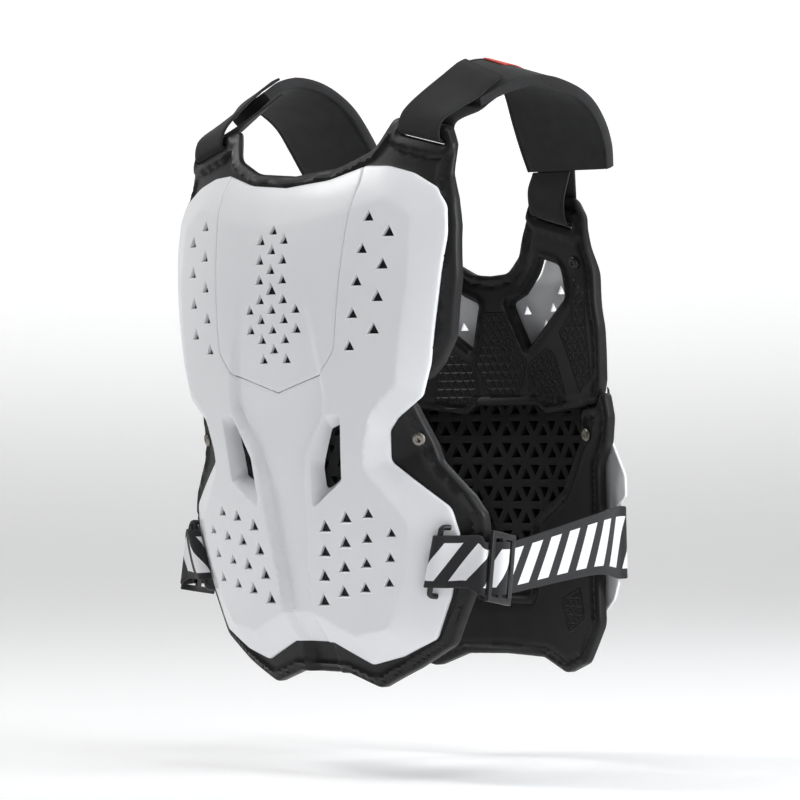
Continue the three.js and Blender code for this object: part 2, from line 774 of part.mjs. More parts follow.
function cutSlot(solid, ear, rows, columns, faceAt) {
  const raised = sheet(rows, columns, (x, z) => faceAt(x, z) - slot.ringHeight, (x, z) => faceAt(x, z) + 2);
  let result = solid;
  for (const side of [-1, 1]) {
    const place = slotPlace(ear, side);
    const ring = place(stadium(slot.length + 2 * slot.ringWidth, slot.height + 2 * slot.ringWidth));
    const opening = place(stadium(slot.length, slot.height));
    if (side < 0) {
      ring.reverse();
      opening.reverse();
    }
    result = result.add(raised.intersect(prism(ring))).subtract(prism(opening));
  }
  return result;
}

const frontRivet = { x: 0.785 * front.halfWidth, z: -0.6125 * front.reach };
const waistRivet = { x: 0.75 * back.halfWidth, z: -0.585 * back.reach };
const earRivet = { x: 0.762 * back.halfWidth, z: -0.288 * back.reach };

// Place of a small piece on a face, at the seat gap above a flat pocket in it
function seated(face, spot, side) {
  const step = 3;
  const x = side * spot.x;
  const across = new THREE.Vector3(2 * step, face(x + step, spot.z) - face(x - step, spot.z), 0);
  const up = new THREE.Vector3(0, face(x, spot.z + step) - face(x, spot.z - step), 2 * step);
  const normal = across.cross(up).normalize();
  const position = new THREE.Vector3(x, face(x, spot.z), spot.z).addScaledVector(normal, seatGap);
  return { position, normal };
}

// Flat pockets for the rivets on both sides of a pad
function cutSeats(solid, face, spot) {
  let result = solid;
  const upright = new THREE.Vector3(0, 1, 0);
  for (const side of [-1, 1]) {
    const place = seated(face, spot, side);
    const pocket = new THREE.CylinderGeometry(rivet.head + seatGap, rivet.head + seatGap, 12, 10);
    pocket.translate(0, 6 - seatGap, 0);
    pocket.applyQuaternion(new THREE.Quaternion().setFromUnitVectors(upright, place.normal));
    pocket.translate(place.position.x, place.position.y, place.position.z);
    result = result.subtract(toSolid(pocket));
  }
  return result;
}

function buildFrontLiners() {
  const upperLine = roundCorners(upperLinerOutline, front.halfWidth, front.reach);
  const lowerLine = roundCorners(lowerLinerOutline, front.halfWidth, front.reach);
  let upper = sheet(gridRows(front, -2, 7), frontColumns, linerFace, linerBack);
  upper = upper.intersect(prism(mirrored(upperLine)));
  upper = cutSlot(upper, frontEar, gridRows(front, -2, 2), frontColumns, linerFace);
  let lower = sheet(gridRows(front, 6, 15), frontColumns, linerFace, linerBack);
  lower = lower.intersect(prism(mirrored(lowerLine)));
  const opening = closedCorners(linerOpening, front.halfWidth, front.reach);
  lower = lower.subtract(prism(opening));
  lower = lower.subtract(prism(flipped(opening)));
  lower = cutSeats(lower, linerFace, frontRivet);
  return { upper: toGeometry(upper), lower: toGeometry(lower) };
}

function buildFrontNet() {
  const line = roundCorners(netPadOutline, front.halfWidth, front.reach);
  const near = (x, z) => linerBack(x, z) + 2 * seatGap;
  const far = (x, z) => near(x, z) + front.netWall;
  const blank = sheet(gridRows(front, 6, 11), frontColumns, near, far);
  return toGeometry(blank.intersect(prism(mirrored(line))));
}

// Back plate, seen from its inner side, which faces the wearer
function backFace(x, z) {
  const drop = -z / back.reach;
  const bow = back.bow * along(backProfile, 'bow', drop) * (x / back.halfWidth) ** 2;
  return back.depth * along(backProfile, 'depth', drop) - bow;
}

function backColumns() {
  return bothSides([0.3, 0.58, 0.84, 1.06, 1.26].map((share) => share * back.halfWidth));
}

function padBack(x, z) {
  const wall = back.earWall + (back.padWall - back.earWall) * earShare(-z / back.reach - 0.08);
  return backFace(x, z) + wall;
}

function buildBackPads() {
  const upperLine = roundCorners(upperPadOutline, back.halfWidth, back.reach);
  const windowLine = closedCorners(padWindow, back.halfWidth, back.reach);
  let upper = sheet(gridRows(back, 0, 6), backColumns, backFace, padBack);
  upper = upper.intersect(prism(mirrored(upperLine)));
  upper = upper.subtract(prism(windowLine)).subtract(prism(flipped(windowLine)));
  upper = cutSlot(upper, backEar, gridRows(back, 0, 3), backColumns, backFace);
  upper = cutSeats(upper, backFace, earRivet);
  const outerLine = roundCorners(lowerPadOutline, back.halfWidth, back.reach);
  const innerLine = roundCorners(lowerPadInner, back.halfWidth, back.reach);
  const halfLine = [...outerLine, ...innerLine];
  const right = prism(halfLine);
  const left = prism(flipped(halfLine));
  const blank = sheet(gridRows(back, 4, 13), backColumns, backFace, padBack);
  const lower = cutSeats(blank.intersect(right.add(left)), backFace, waistRivet);
  return { upper: toGeometry(upper), lower: toGeometry(lower) };
}

function netCutters() {
  const cutters = [];
  const line = roundCorners(backNetOutline, back.halfWidth, back.reach);
  const top = -net.topDrop * back.reach;
  const rows = Math.floor((net.span * back.reach) / net.rowPitch);
  for (let row = 0; row < rows; row += 1) {
    const z = top - row * net.rowPitch;
    const shift = row % 2 ? 0.5 : 0;
    for (let step = -5; step <= 5; step += 1) {
      const x = (step + shift) * net.pitch;
      const clearOfEdge = Math.abs(x) + net.holeWidth / 2 + net.edge < widthAt(line, z - net.holeHeight / 2);
      if (clearOfEdge) {
        const loop = [
          new THREE.Vector2(x - net.holeWidth / 2, z - net.holeHeight / 3),
          new THREE.Vector2(x + net.holeWidth / 2, z - net.holeHeight / 3),
          new THREE.Vector2(x, z + (net.holeHeight * 2) / 3),
        ];
        cutters.push(loop);
      }
    }
  }
  return cutters;
}

const netNear = (x, z) => backFace(x, z) + back.padWall + seatGap;
const netFar = (x, z) => netNear(x, z) + back.netWall;

function buildBackNet() {
  const line = roundCorners(backNetOutline, back.halfWidth, back.reach);
  let solid = sheet(gridRows(back, 4, 11), backColumns, netNear, netFar);
  solid = solid.intersect(prism(mirrored(line)));
  for (const loop of netCutters()) {
    solid = solid.subtract(prism(loop));
  }
  return toGeometry(solid);
}

// The back shell lies behind the pads, and stands off further where the net pad lies between
const backShellLine = roundCorners(backShellOutline, back.halfWidth, back.reach);

function backShellNear(x, z) {
  return netNear(x, z) + back.shellStandOff;
}

function buildBackShell() {
  const far = (x, z) => backShellNear(x, z) + back.shellWall;
  let shell = sheet(gridRows(back, 1, 12), backColumns, backShellNear, far);
  shell = shell.intersect(prism(mirrored(backShellLine)));
  const netLine = roundCorners(backNetOutline, back.halfWidth, back.reach);
  const cleared = netLine.map((point) => {
    const grown = point.x && point.x + seamGap;
    const lifted = point.y > -0.51 * back.reach ? point.y + seamGap : point.y - seamGap;
    return new THREE.Vector2(grown, lifted);
  });
  shell = shell.subtract(prism(mirrored(cleared)));
  for (const place of backShellHoles) {
    for (const side of [-1, 1]) {
      const x = side * place.out * back.halfWidth;
      const z = -place.drop * back.reach;
      shell = shell.subtract(triangleCutter(x, z, 0.9, backShellNear, back.shellWall));
    }
  }
  return toGeometry(shell);
}

// Rivet: a domed disc with a small blind hole, its face turned along -Y
function rivetGeometry() {
  const profile = [
    new THREE.Vector2(0, 0),
    new THREE.Vector2(rivet.head, 0),
    new THREE.Vector2(rivet.head * 0.85, rivet.height),
    new THREE.Vector2(rivet.bore, rivet.height),
    new THREE.Vector2(rivet.bore, rivet.height - rivet.boreDepth),
    new THREE.Vector2(0, rivet.height - rivet.boreDepth),
  ];
  return new THREE.LatheGeometry(profile, 8);
}

const group = new THREE.Group();

function addPiece(name, geometry, look, place) {
  const mesh = new THREE.Mesh(geometry, new THREE.MeshStandardMaterial(look));
  mesh.name = name;
  if (place) {
    mesh.position.copy(place.position);
    mesh.quaternion.setFromUnitVectors(new THREE.Vector3(0, 1, 0), place.normal);
  }
  group.add(mesh);
}

const frontPieces = buildFrontShell();
const frontLiners = buildFrontLiners();
const backPads = buildBackPads();
addPiece('front_shell', frontPieces.shell, finish.whiteShell);
addPiece('front_centre_panel', frontPieces.panel, finish.whiteShell);
addPiece('front_upper_liner', frontLiners.upper, finish.foam);
addPiece('front_lower_liner', frontLiners.lower, finish.foam);
addPiece('front_net_pad', buildFrontNet(), finish.net);
addPiece('back_shell', buildBackShell(), finish.whiteShell);
addPiece('back_upper_pad', backPads.upper, finish.foam);
addPiece('back_lower_pad', backPads.lower, finish.foam);
addPiece('back_net_pad', buildBackNet(), finish.net);

// Strap-like body: stations with an inner and an outer edge, and a thickness along the normal
function ribbon(stations, thickness, across, lift) {
  const steps = stations.length - 1;
  const rows = stations.map((station, row) => {
    const before = stations[Math.max(row - 1, 0)];
    const after = stations[Math.min(row + 1, steps)];
    const ahead = after.inner.clone().sub(before.inner).normalize();
    ahead.add(after.outer.clone().sub(before.outer).normalize());
    const side = station.outer.clone().sub(station.inner);
    const normal = side.cross(ahead).normalize();
    const cells = [];
    for (let col = 0; col <= across; col += 1) {
      cells.push({ point: station.inner.clone().lerp(station.outer, col / across), normal });
    }
    return cells;
  });
  const positions = [];
  for (const layer of [lift + thickness, lift]) {
    for (const row of rows) {
      for (const cell of row) {
        const spot = cell.point.clone().addScaledVector(cell.normal, layer);
        positions.push(spot.x, spot.y, spot.z);
      }
    }
  }
  const wide = across + 1;
  const layerSize = rows.length * wide;
  const index = [];
  const quad = (a, b, c, d) => index.push(a, b, c, a, c, d);
  for (let row = 0; row < steps; row += 1) {
    for (let col = 0; col < across; col += 1) {
      const a = row * wide + col;
      quad(a, a + 1, a + wide + 1, a + wide);
      quad(a + layerSize, a + layerSize + wide, a + layerSize + wide + 1, a + layerSize + 1);
    }
    const left = row * wide;
    const right = left + across;
    quad(left, left + wide, left + wide + layerSize, left + layerSize);
    quad(right, right + layerSize, right + wide + layerSize, right + wide);
  }
  const last = steps * wide;
  for (let col = 0; col < across; col += 1) {
    quad(col, col + layerSize, col + 1 + layerSize, col + 1);
    quad(last + col, last + col + 1, last + col + 1 + layerSize, last + col + layerSize);
  }
  const geometry = new THREE.BufferGeometry();
  geometry.setAttribute('position', new THREE.Float32BufferAttribute(positions, 3));
  geometry.setIndex(index);
  return geometry;
}

function mirrorX(geometry) {
  const copy = geometry.clone();
  const spots = copy.attributes.position;
  for (let index = 0; index < spots.count; index += 1) {
    spots.setX(index, -spots.getX(index));
  }
  const corners = copy.index;
  for (let index = 0; index < corners.count; index += 3) {
    const second = corners.getX(index + 1);
    corners.setX(index + 1, corners.getX(index + 2));
    corners.setX(index + 2, second);
  }
  return copy;
}

function addPair(name, geometry, look) {
  addPiece(`${name}_right`, geometry, look);
  addPiece(`${name}_left`, mirrorX(geometry), look);
}

const vector = (x, y, z) => new THREE.Vector3(x, y, z);

function padPoint(share, out, rise) {
  return vector(out * shoulderPad.halfWidth, share * shoulderPad.depth, rise * shoulderPad.height);
}

// Edges of the shoulder pad as curves, and a strip of its surface between two shares of its width
const padInner = new THREE.CatmullRomCurve3(
  padStations.map((row) => padPoint(row.along, row.inner, row.innerRise)), false, 'centripetal');
const padOuter = new THREE.CatmullRomCurve3(
  padStations.map((row) => padPoint(row.along, row.outer, row.outerRise)), false, 'centripetal');

function padStrip(t, fromShare, toShare, lift) {
  const inner = padInner.getPoint(t);
  const outer = padOuter.getPoint(t);
  const ahead = padInner.getTangent(t).add(padOuter.getTangent(t));
  const normal = outer.clone().sub(inner).cross(ahead).normalize();
  const from = inner.clone().lerp(outer, fromShare).addScaledVector(normal, lift);
  const to = inner.clone().lerp(outer, toShare).addScaledVector(normal, lift);
  return { inner: from, outer: to };
}

function buildShoulderPad() {
  const stations = [];
  const steps = 2 * (padStations.length - 1);
  for (let step = 0; step <= steps; step += 1) {
    stations.push(padStrip(step / steps, 0, 1, 0));
  }
  return ribbon(stations, shoulderPad.thickness, 2, -shoulderPad.thickness);
}

function buildTag() {
  const stations = [0.27, 0.33, 0.39, 0.45, 0.51].map((t) => padStrip(t, 0.05, 0.42, 2 * seatGap));
  return ribbon(stations, shoulderPad.tagThickness, 1, 0);
}

// One station of webbing along an ear's slanted line, off the face by a distance along Y
function earStation(ear, faceAt, off, rise) {
  const half = webbing.width / 2;
  const fall = Math.tan(ear.tilt) * half;
  const edge = (x, z) => vector(x, faceAt(x, z) + off, z);
  return {
    inner: edge(ear.x - half, ear.z + fall + rise),
    outer: edge(ear.x + half, ear.z - fall + rise),
  };
}

const webbingClear = webbing.thickness / 2 + seatGap + 0.3;

// The turn of the webbing round the bar above a slot, between two distances off the ear's face
function earTurn(ear, faceAt, firstOff, lastOff, rise) {
  const turnRise = slot.height / 2 - webbingClear - 0.5;
  const inward = Math.sign(lastOff - firstOff) * webbing.bend;
  return [
    earStation(ear, faceAt, firstOff, turnRise + rise),
    earStation(ear, faceAt, firstOff, turnRise + webbing.bend),
    earStation(ear, faceAt, firstOff + inward, turnRise),
    earStation(ear, faceAt, lastOff - inward, turnRise),
    earStation(ear, faceAt, lastOff, turnRise + webbing.bend),
    earStation(ear, faceAt, lastOff, turnRise + rise),
  ];
}

function buildFrontWebbing() {
  const nearOff = -slot.ringHeight - webbingClear - 1.6;
  const farOff = front.earWall + webbingClear + 1.8;
  const over = webbingClear + seatGap;
  const under = -shoulderPad.thickness - over;
  const stations = [
    padStrip(0.15, 0.02, 0.84, over),
    padStrip(0.1, 0.02, 0.9, over),
    padStrip(0.05, 0.02, 0.94, over),
    padStrip(0, 0, 1, over),
    ...earTurn(frontEar, linerFace, nearOff, farOff, webbing.frontRise),
    padStrip(0, 0, 1, under),
    padStrip(0.05, 0.02, 0.94, under),
    padStrip(0.1, 0.02, 0.9, under),
  ];
  return ribbon(stations, webbing.thickness, 1, -webbing.thickness / 2);
}

// The webbing's sewn end, just beyond the pad's back end at the middle of its thickness
function beyondPad(fromShare, toShare) {
  const strip = padStrip(1, fromShare, toShare, -shoulderPad.thickness / 2);
  const ahead = padInner.getTangent(1).add(padOuter.getTangent(1)).setLength(webbing.thickness);
  return { inner: strip.inner.add(ahead), outer: strip.outer.add(ahead) };
}

function buildBackWebbing() {
  const nearOff = -slot.ringHeight - webbingClear - 1.6;
  const farOff = back.earWall + webbingClear + 2;
  const over = webbingClear + seatGap;
  const stations = [
    beyondPad(0.03, 0.49),
    ...earTurn(backEar, backFace, nearOff, farOff, webbing.backRise),
    padStrip(1, 0.03, 0.49, over),
    padStrip(0.95, 0.05, 0.5, over),
    padStrip(0.9, 0.08, 0.5, over),
  ];
  return ribbon(stations, webbing.thickness, 1, -webbing.thickness / 2);
}

// Side strap: it loops round the hook on the front shell, weaves through the slider and ends under the clip
const hookTop = { x: 0.892 * front.halfWidth, z: -0.772 * front.reach };
const hookBottom = { x: 0.81 * front.halfWidth, z: -0.86 * front.reach };
const sliderAt = {
  x: 1.112 * front.halfWidth,
  y: -0.448 * front.chestDepth,
  z: -0.83 * front.reach,
  lean: 0.15,
};
const wingTurn = { x: 1.0665 * front.halfWidth, y: -0.5844 * front.chestDepth, lean: 0.12 };
const clipAt = { x: 0.89 * back.halfWidth, z: -0.77 * back.reach };

function faceNormal(face, x, z, sign) {
  const step = 3;
  const across = vector(2 * step, face(x + step, z) - face(x - step, z), 0);
  const up = vector(0, face(x, z + step) - face(x, z - step), 2 * step);
  return across.cross(up).normalize().multiplyScalar(sign);
}

function hookPoint(end, off) {
  const spot = vector(end.x, frontFace(end.x, end.z), end.z);
  return spot.addScaledVector(faceNormal(frontFace, end.x, end.z, 1), off);
}

const shellFar = (x, z) => backShellNear(x, z) + back.shellWall;

function clipPoint(x, z, off) {
  const spot = vector(x, shellFar(x, z), z);
  return spot.addScaledVector(faceNormal(shellFar, x, z, -1), off);
}

function strapLine(share) {
  const drop = (share - 0.5) * strap.width;
  const backDrop = (share - 0.5) * strap.backWidth;
  const top = hookPoint(hookTop, hook.standOff);
  const bottom = hookPoint(hookBottom, hook.standOff);
  const bar = top.clone().lerp(bottom, share);
  bar.z = (top.z + bottom.z) / 2 - drop;
  const turn = vector(wingTurn.x - drop * wingTurn.lean, wingTurn.y - drop * wingTurn.lean, bar.z - 3);
  const backZ = clipAt.z - backDrop;
  const edgeX = widthAt(backShellLine, backZ);
  const corner = clipPoint(edgeX, backZ, 0);
  const middle = clipPoint(widthAt(backShellLine, clipAt.z), clipAt.z, 0);
  const bellyZ = clipAt.z - (drop + backDrop) / 2;
  const belly = vector(middle.x + strap.bellyOut, middle.y - strap.bellyLength, bellyZ);
  const ahead = vector(belly.x - sliderAt.x, belly.y - sliderAt.y, 0).normalize();
  const glide = vector(sliderAt.x, sliderAt.y, sliderAt.z - drop);
  glide.addScaledVector(ahead, -drop * sliderAt.lean);
  const flat = (from, to) => {
    const onward = to.clone().sub(from).setZ(0).normalize();
    const out = vector(onward.y, -onward.x, 0);
    return (run, off) => from.clone().addScaledVector(onward, run).addScaledVector(out, off);
  };
  const nearBar = flat(bar, turn);
  const nearSlider = flat(glide, belly);
  const round = hook.thickness / 2 + seatGap + 0.6 + strap.thickness / 2;
  const slant = round * Math.SQRT1_2;
  const layer = strap.thickness / 2 + 0.2;
  const weave = slider.thickness / 2 + strap.thickness / 2 + seatGap + 0.2;
  const gap = slider.width / 2 - slider.bar / 2;
  const lie = strap.thickness / 2 + seatGap + 0.1;
  return [
    nearBar(strap.loopLength, -layer),
    nearBar(strap.loopLength * 0.5, -layer - 0.6),
    nearBar(0, -round),
    nearBar(-slant, -slant),
    nearBar(-round, 0),
    nearBar(-slant, slant),
    nearBar(0, round),
    nearBar(strap.loopLength * 0.5, layer + 0.6),
    nearBar(strap.loopLength, layer),
    nearSlider(-gap - 5, -weave),
    nearSlider(-gap + 3.4, -weave),
    nearSlider(-3.4, weave),
    nearSlider(3.4, weave),
    nearSlider(gap - 3.4, -weave),
    nearSlider(gap + 4, -weave),
    belly,
    vector(corner.x + 4.2, corner.y - 6, backZ),
    vector(corner.x + 3.6, corner.y + 2.5, backZ),
    clipPoint(edgeX - 4, backZ, lie + 1),
    clipPoint(edgeX - 14, backZ, lie),
    clipPoint(edgeX - 26, backZ, lie),
  ];
}

function buildSideStrap() {
  const top = strapLine(0);
  const bottom = strapLine(1);
  const stations = top.map((point, index) => ({ inner: point, outer: bottom[index] }));
  return ribbon(stations, strap.thickness, 1, -strap.thickness / 2);
}

// Round bar along a curve, with flat ends
function rod(path, radius, steps, sides) {
  const frames = path.computeFrenetFrames(steps, false);
  const positions = [];
  for (let step = 0; step <= steps; step += 1) {
    const centre = path.getPointAt(step / steps);
    for (let side = 0; side < sides; side += 1) {
      const angle = (2 * Math.PI * side) / sides;
      const spot = centre.clone().addScaledVector(frames.normals[step], Math.cos(angle) * radius);
      spot.addScaledVector(frames.binormals[step], Math.sin(angle) * radius);
      positions.push(spot.x, spot.y, spot.z);
    }
  }
  const index = [];
  for (let step = 0; step < steps; step += 1) {
    for (let side = 0; side < sides; side += 1) {
      const a = step * sides + side;
      const b = step * sides + ((side + 1) % sides);
      index.push(a, b, b + sides, a, b + sides, a + sides);
    }
  }
  const last = steps * sides;
  for (let side = 1; side + 1 < sides; side += 1) {
    index.push(0, side + 1, side, last, last + side, last + side + 1);
  }
  const geometry = new THREE.BufferGeometry();
  geometry.setAttribute('position', new THREE.Float32BufferAttribute(positions, 3));
  geometry.setIndex(index);
  return geometry;
}

// Bar between two points of the shell, with a foot at each end
function buildHook() {
  const top = hookPoint(hookTop, hook.standOff);
  const bottom = hookPoint(hookBottom, hook.standOff);
  const upward = top.clone().sub(bottom).normalize();
  const corners = [top.addScaledVector(upward, hook.over), bottom.addScaledVector(upward, -hook.over)];
  const feet = corners.map((corner) => hookPoint(corner, 6 * seatGap));
  const path = new THREE.CurvePath();
  const starts = corners.map((corner, end) => {
    const towards = end ? upward : upward.clone().negate();
    return corner.clone().addScaledVector(towards, hook.turn);
  });
  const lifts = corners.map((corner, end) => corner.clone().lerp(feet[end], 0.5));
  path.add(new THREE.LineCurve3(feet[0], lifts[0]));
  path.add(new THREE.QuadraticBezierCurve3(lifts[0], corners[0], starts[0]));
  path.add(new THREE.LineCurve3(starts[0], starts[1]));
  path.add(new THREE.QuadraticBezierCurve3(starts[1], corners[1], lifts[1]));
  path.add(new THREE.LineCurve3(lifts[1], feet[1]));
  return rod(path, hook.thickness / 2, 13, 6);
}

// Frame with two openings and a bar between them
function buildSlider() {
  const gapWide = (slider.width - 3 * slider.bar) / 2;
  const gapLong = slider.length - 2 * slider.endBar;
  let body = toSolid(new THREE.BoxGeometry(slider.width, slider.length, slider.thickness));
  for (const side of [-1, 1]) {
    const gap = new THREE.BoxGeometry(gapWide, gapLong, 2 * slider.thickness);
    gap.translate((side * (gapWide + slider.bar)) / 2, 0, 0);
    body = body.subtract(toSolid(gap));
  }
  const geometry = toGeometry(body);
  const middle = vector(sliderAt.x, sliderAt.y, sliderAt.z);
  const line = strapLine(0.5);
  const ahead = line[line.length - 6].clone().sub(middle).setZ(0).normalize();
  const up = vector(ahead.x * sliderAt.lean, ahead.y * sliderAt.lean, 1).normalize();
  const out = ahead.clone().cross(up).normalize();
  const basis = new THREE.Matrix4().makeBasis(out.clone().cross(up).negate(), up, out);
  geometry.applyMatrix4(basis);
  geometry.translate(sliderAt.x, sliderAt.y, sliderAt.z);
  return geometry;
}

// Clip: a bar over the strap's end, with a foot above and a foot below the strap
function buildClip() {
  const half = strap.backWidth / 2 + seatGap + 0.4;
  const total = half + clip.overhang;
  const under = strap.thickness + 2 * seatGap + 0.6;
  const outline = [
    [-total, seatGap], [-half, seatGap], [-half, under], [half, under],
    [half, seatGap], [total, seatGap], [total, under + clip.thickness], [-total, under + clip.thickness],
  ].map(([a, b]) => new THREE.Vector2(a, b));
  const shape = new THREE.Shape(outline);
  const geometry = new THREE.ExtrudeGeometry(shape, { depth: clip.width, bevelEnabled: false });
  geometry.translate(0, 0, -clip.width / 2);
  const x = clipAt.x - clip.width / 2 - 3;
  const normal = faceNormal(shellFar, x, clipAt.z, -1);
  const up = vector(0, 0, 1);
  const side = up.clone().cross(normal).normalize();
  const basis = new THREE.Matrix4().makeBasis(side.clone().cross(normal).negate(), normal, side);
  geometry.applyMatrix4(basis);
  const spot = clipPoint(x, clipAt.z, 0.4);
  geometry.translate(spot.x, spot.y, spot.z);
  return geometry;
}

for (const side of [-1, 1]) {
  const word = side > 0 ? 'right' : 'left';
  addPiece(`front_rivet_${word}`, rivetGeometry(), finish.metal, seated(linerFace, frontRivet, side));
  addPiece(`back_waist_rivet_${word}`, rivetGeometry(), finish.metal, seated(backFace, waistRivet, side));
  addPiece(`back_ear_rivet_${word}`, rivetGeometry(), finish.blackPlastic, seated(backFace, earRivet, side));
}
addPair('shoulder_pad', buildShoulderPad(), finish.padCloth);
addPair('shoulder_tag', buildTag(), finish.tag);
addPair('front_webbing', buildFrontWebbing(), finish.webbing);
addPair('back_webbing', buildBackWebbing(), finish.webbing);
addPair('side_strap', buildSideStrap(), finish.elastic);
addPair('strap_hook', buildHook(), finish.blackPlastic);
addPair('strap_slider', buildSlider(), finish.blackPlastic);
addPair('strap_clip', toGeometry(toSolid(buildClip())), finish.clipPlastic);

export default group;
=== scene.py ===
import bmesh, bpy, math
import numpy as np
from mathutils import Matrix, Vector
from mathutils.geometry import delaunay_2d_cdt


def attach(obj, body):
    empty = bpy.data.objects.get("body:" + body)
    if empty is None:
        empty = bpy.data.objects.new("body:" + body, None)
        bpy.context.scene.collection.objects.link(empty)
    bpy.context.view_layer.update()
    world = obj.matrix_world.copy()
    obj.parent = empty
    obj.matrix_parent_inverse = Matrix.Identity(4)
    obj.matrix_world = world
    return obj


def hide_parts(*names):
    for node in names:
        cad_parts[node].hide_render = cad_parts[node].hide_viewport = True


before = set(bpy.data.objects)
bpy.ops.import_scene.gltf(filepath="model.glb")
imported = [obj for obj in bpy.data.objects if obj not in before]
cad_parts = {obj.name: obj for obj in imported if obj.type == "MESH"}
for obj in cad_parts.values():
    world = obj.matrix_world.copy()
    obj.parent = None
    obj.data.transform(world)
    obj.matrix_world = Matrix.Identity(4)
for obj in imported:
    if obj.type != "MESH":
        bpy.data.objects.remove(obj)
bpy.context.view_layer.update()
mm = 0.001
scene = bpy.context.scene


# camera at the photograph's angle
view = {"azimuth": 45, "distance": 3083, "side": -3.8, "height": -297, "pitchUp": 0.82, "lens": 166.5}
turn = math.radians(view["azimuth"])
behind = Vector((math.sin(turn), -math.cos(turn), 0))
aside = Vector((math.cos(turn), math.sin(turn), 0))
cameraData = bpy.data.cameras.new("photoCamera")
cameraData.lens = view["lens"]
cameraData.clip_end = 50
camera = bpy.data.objects.new("photoCamera", cameraData)
camera.location = (behind * view["distance"] + aside * view["side"] + Vector((0, 0, view["height"]))) * mm
camera.rotation_euler = (math.radians(90 + view["pitchUp"]), 0, turn)
scene.collection.objects.link(camera)
scene.camera = camera
print("camera ready")


# shares along the plates, measured down from the shoulders
front = {"halfWidth": 158, "reach": 467, "depth": 154, "bow": 31.9, "edgeDrop": 15, "channel": 8.5,
         "shellWall": 3.5, "linerWall": 10, "earWall": 6, "netWall": 9, "seat": 0.4,
         "neckSlope": 0.15}
back = {"halfWidth": 140, "reach": 482, "depth": 126, "bow": 25.5, "padWall": 11, "earWall": 6,
        "shellWall": 3.5, "netWall": 13, "standOff": 3, "seat": 0.4}

frontProfile = [(0.06, 0.845, 0.4), (0.17, 0.925, 0.9), (0.235, 0.965, 1), (0.32, 0.993, 1), (0.41, 1, 1),
                (0.49, 0.989, 1), (0.58, 0.962, 1), (0.66, 0.929, 1), (0.75, 0.883, 1), (0.86, 0.826, 1),
                (1.04, 0.738, 1)]
frontSlope = [(0.1, 0.15), (0.17, 0.17), (0.24, 0.3), (0.48, 0.3), (0.57, 0.2), (0.8, 0.18), (0.9, 0.03),
              (1.04, 0)]
frontEdge = [(0.15, 0.6), (0.21, 0.4), (0.52, 0.66), (0.75, 0.82), (0.98, 1.0)]
channelTable = [(0.235, 0.18, 0.05, -0.06), (0.32, 0.235, 0.055, -0.06), (0.39, 0.28, 0.055, 0.22),
                (0.475, 0.33, 0.05, 0.5), (0.53, 0.35, 0.045, 0.7), (0.565, 0.335, 0.04, 0.85),
                (0.645, 0.19, 0.035, 0.94), (0.73, 0.155, 0.032, 0.97), (0.91, 0.104, 0.03, 1.0),
                (1.0, 0.12, 0.03, 1.0)]
backProfile = [(0.17, 0.62, 0.1), (0.23, 0.665, 0.12), (0.27, 0.745, 0.32), (0.304, 0.815, 0.5),
               (0.37, 0.858, 0.8), (0.45, 0.925, 0.93), (0.535, 0.973, 1), (0.66, 0.996, 1), (0.72, 1, 1),
               (1, 0.97, 1)]

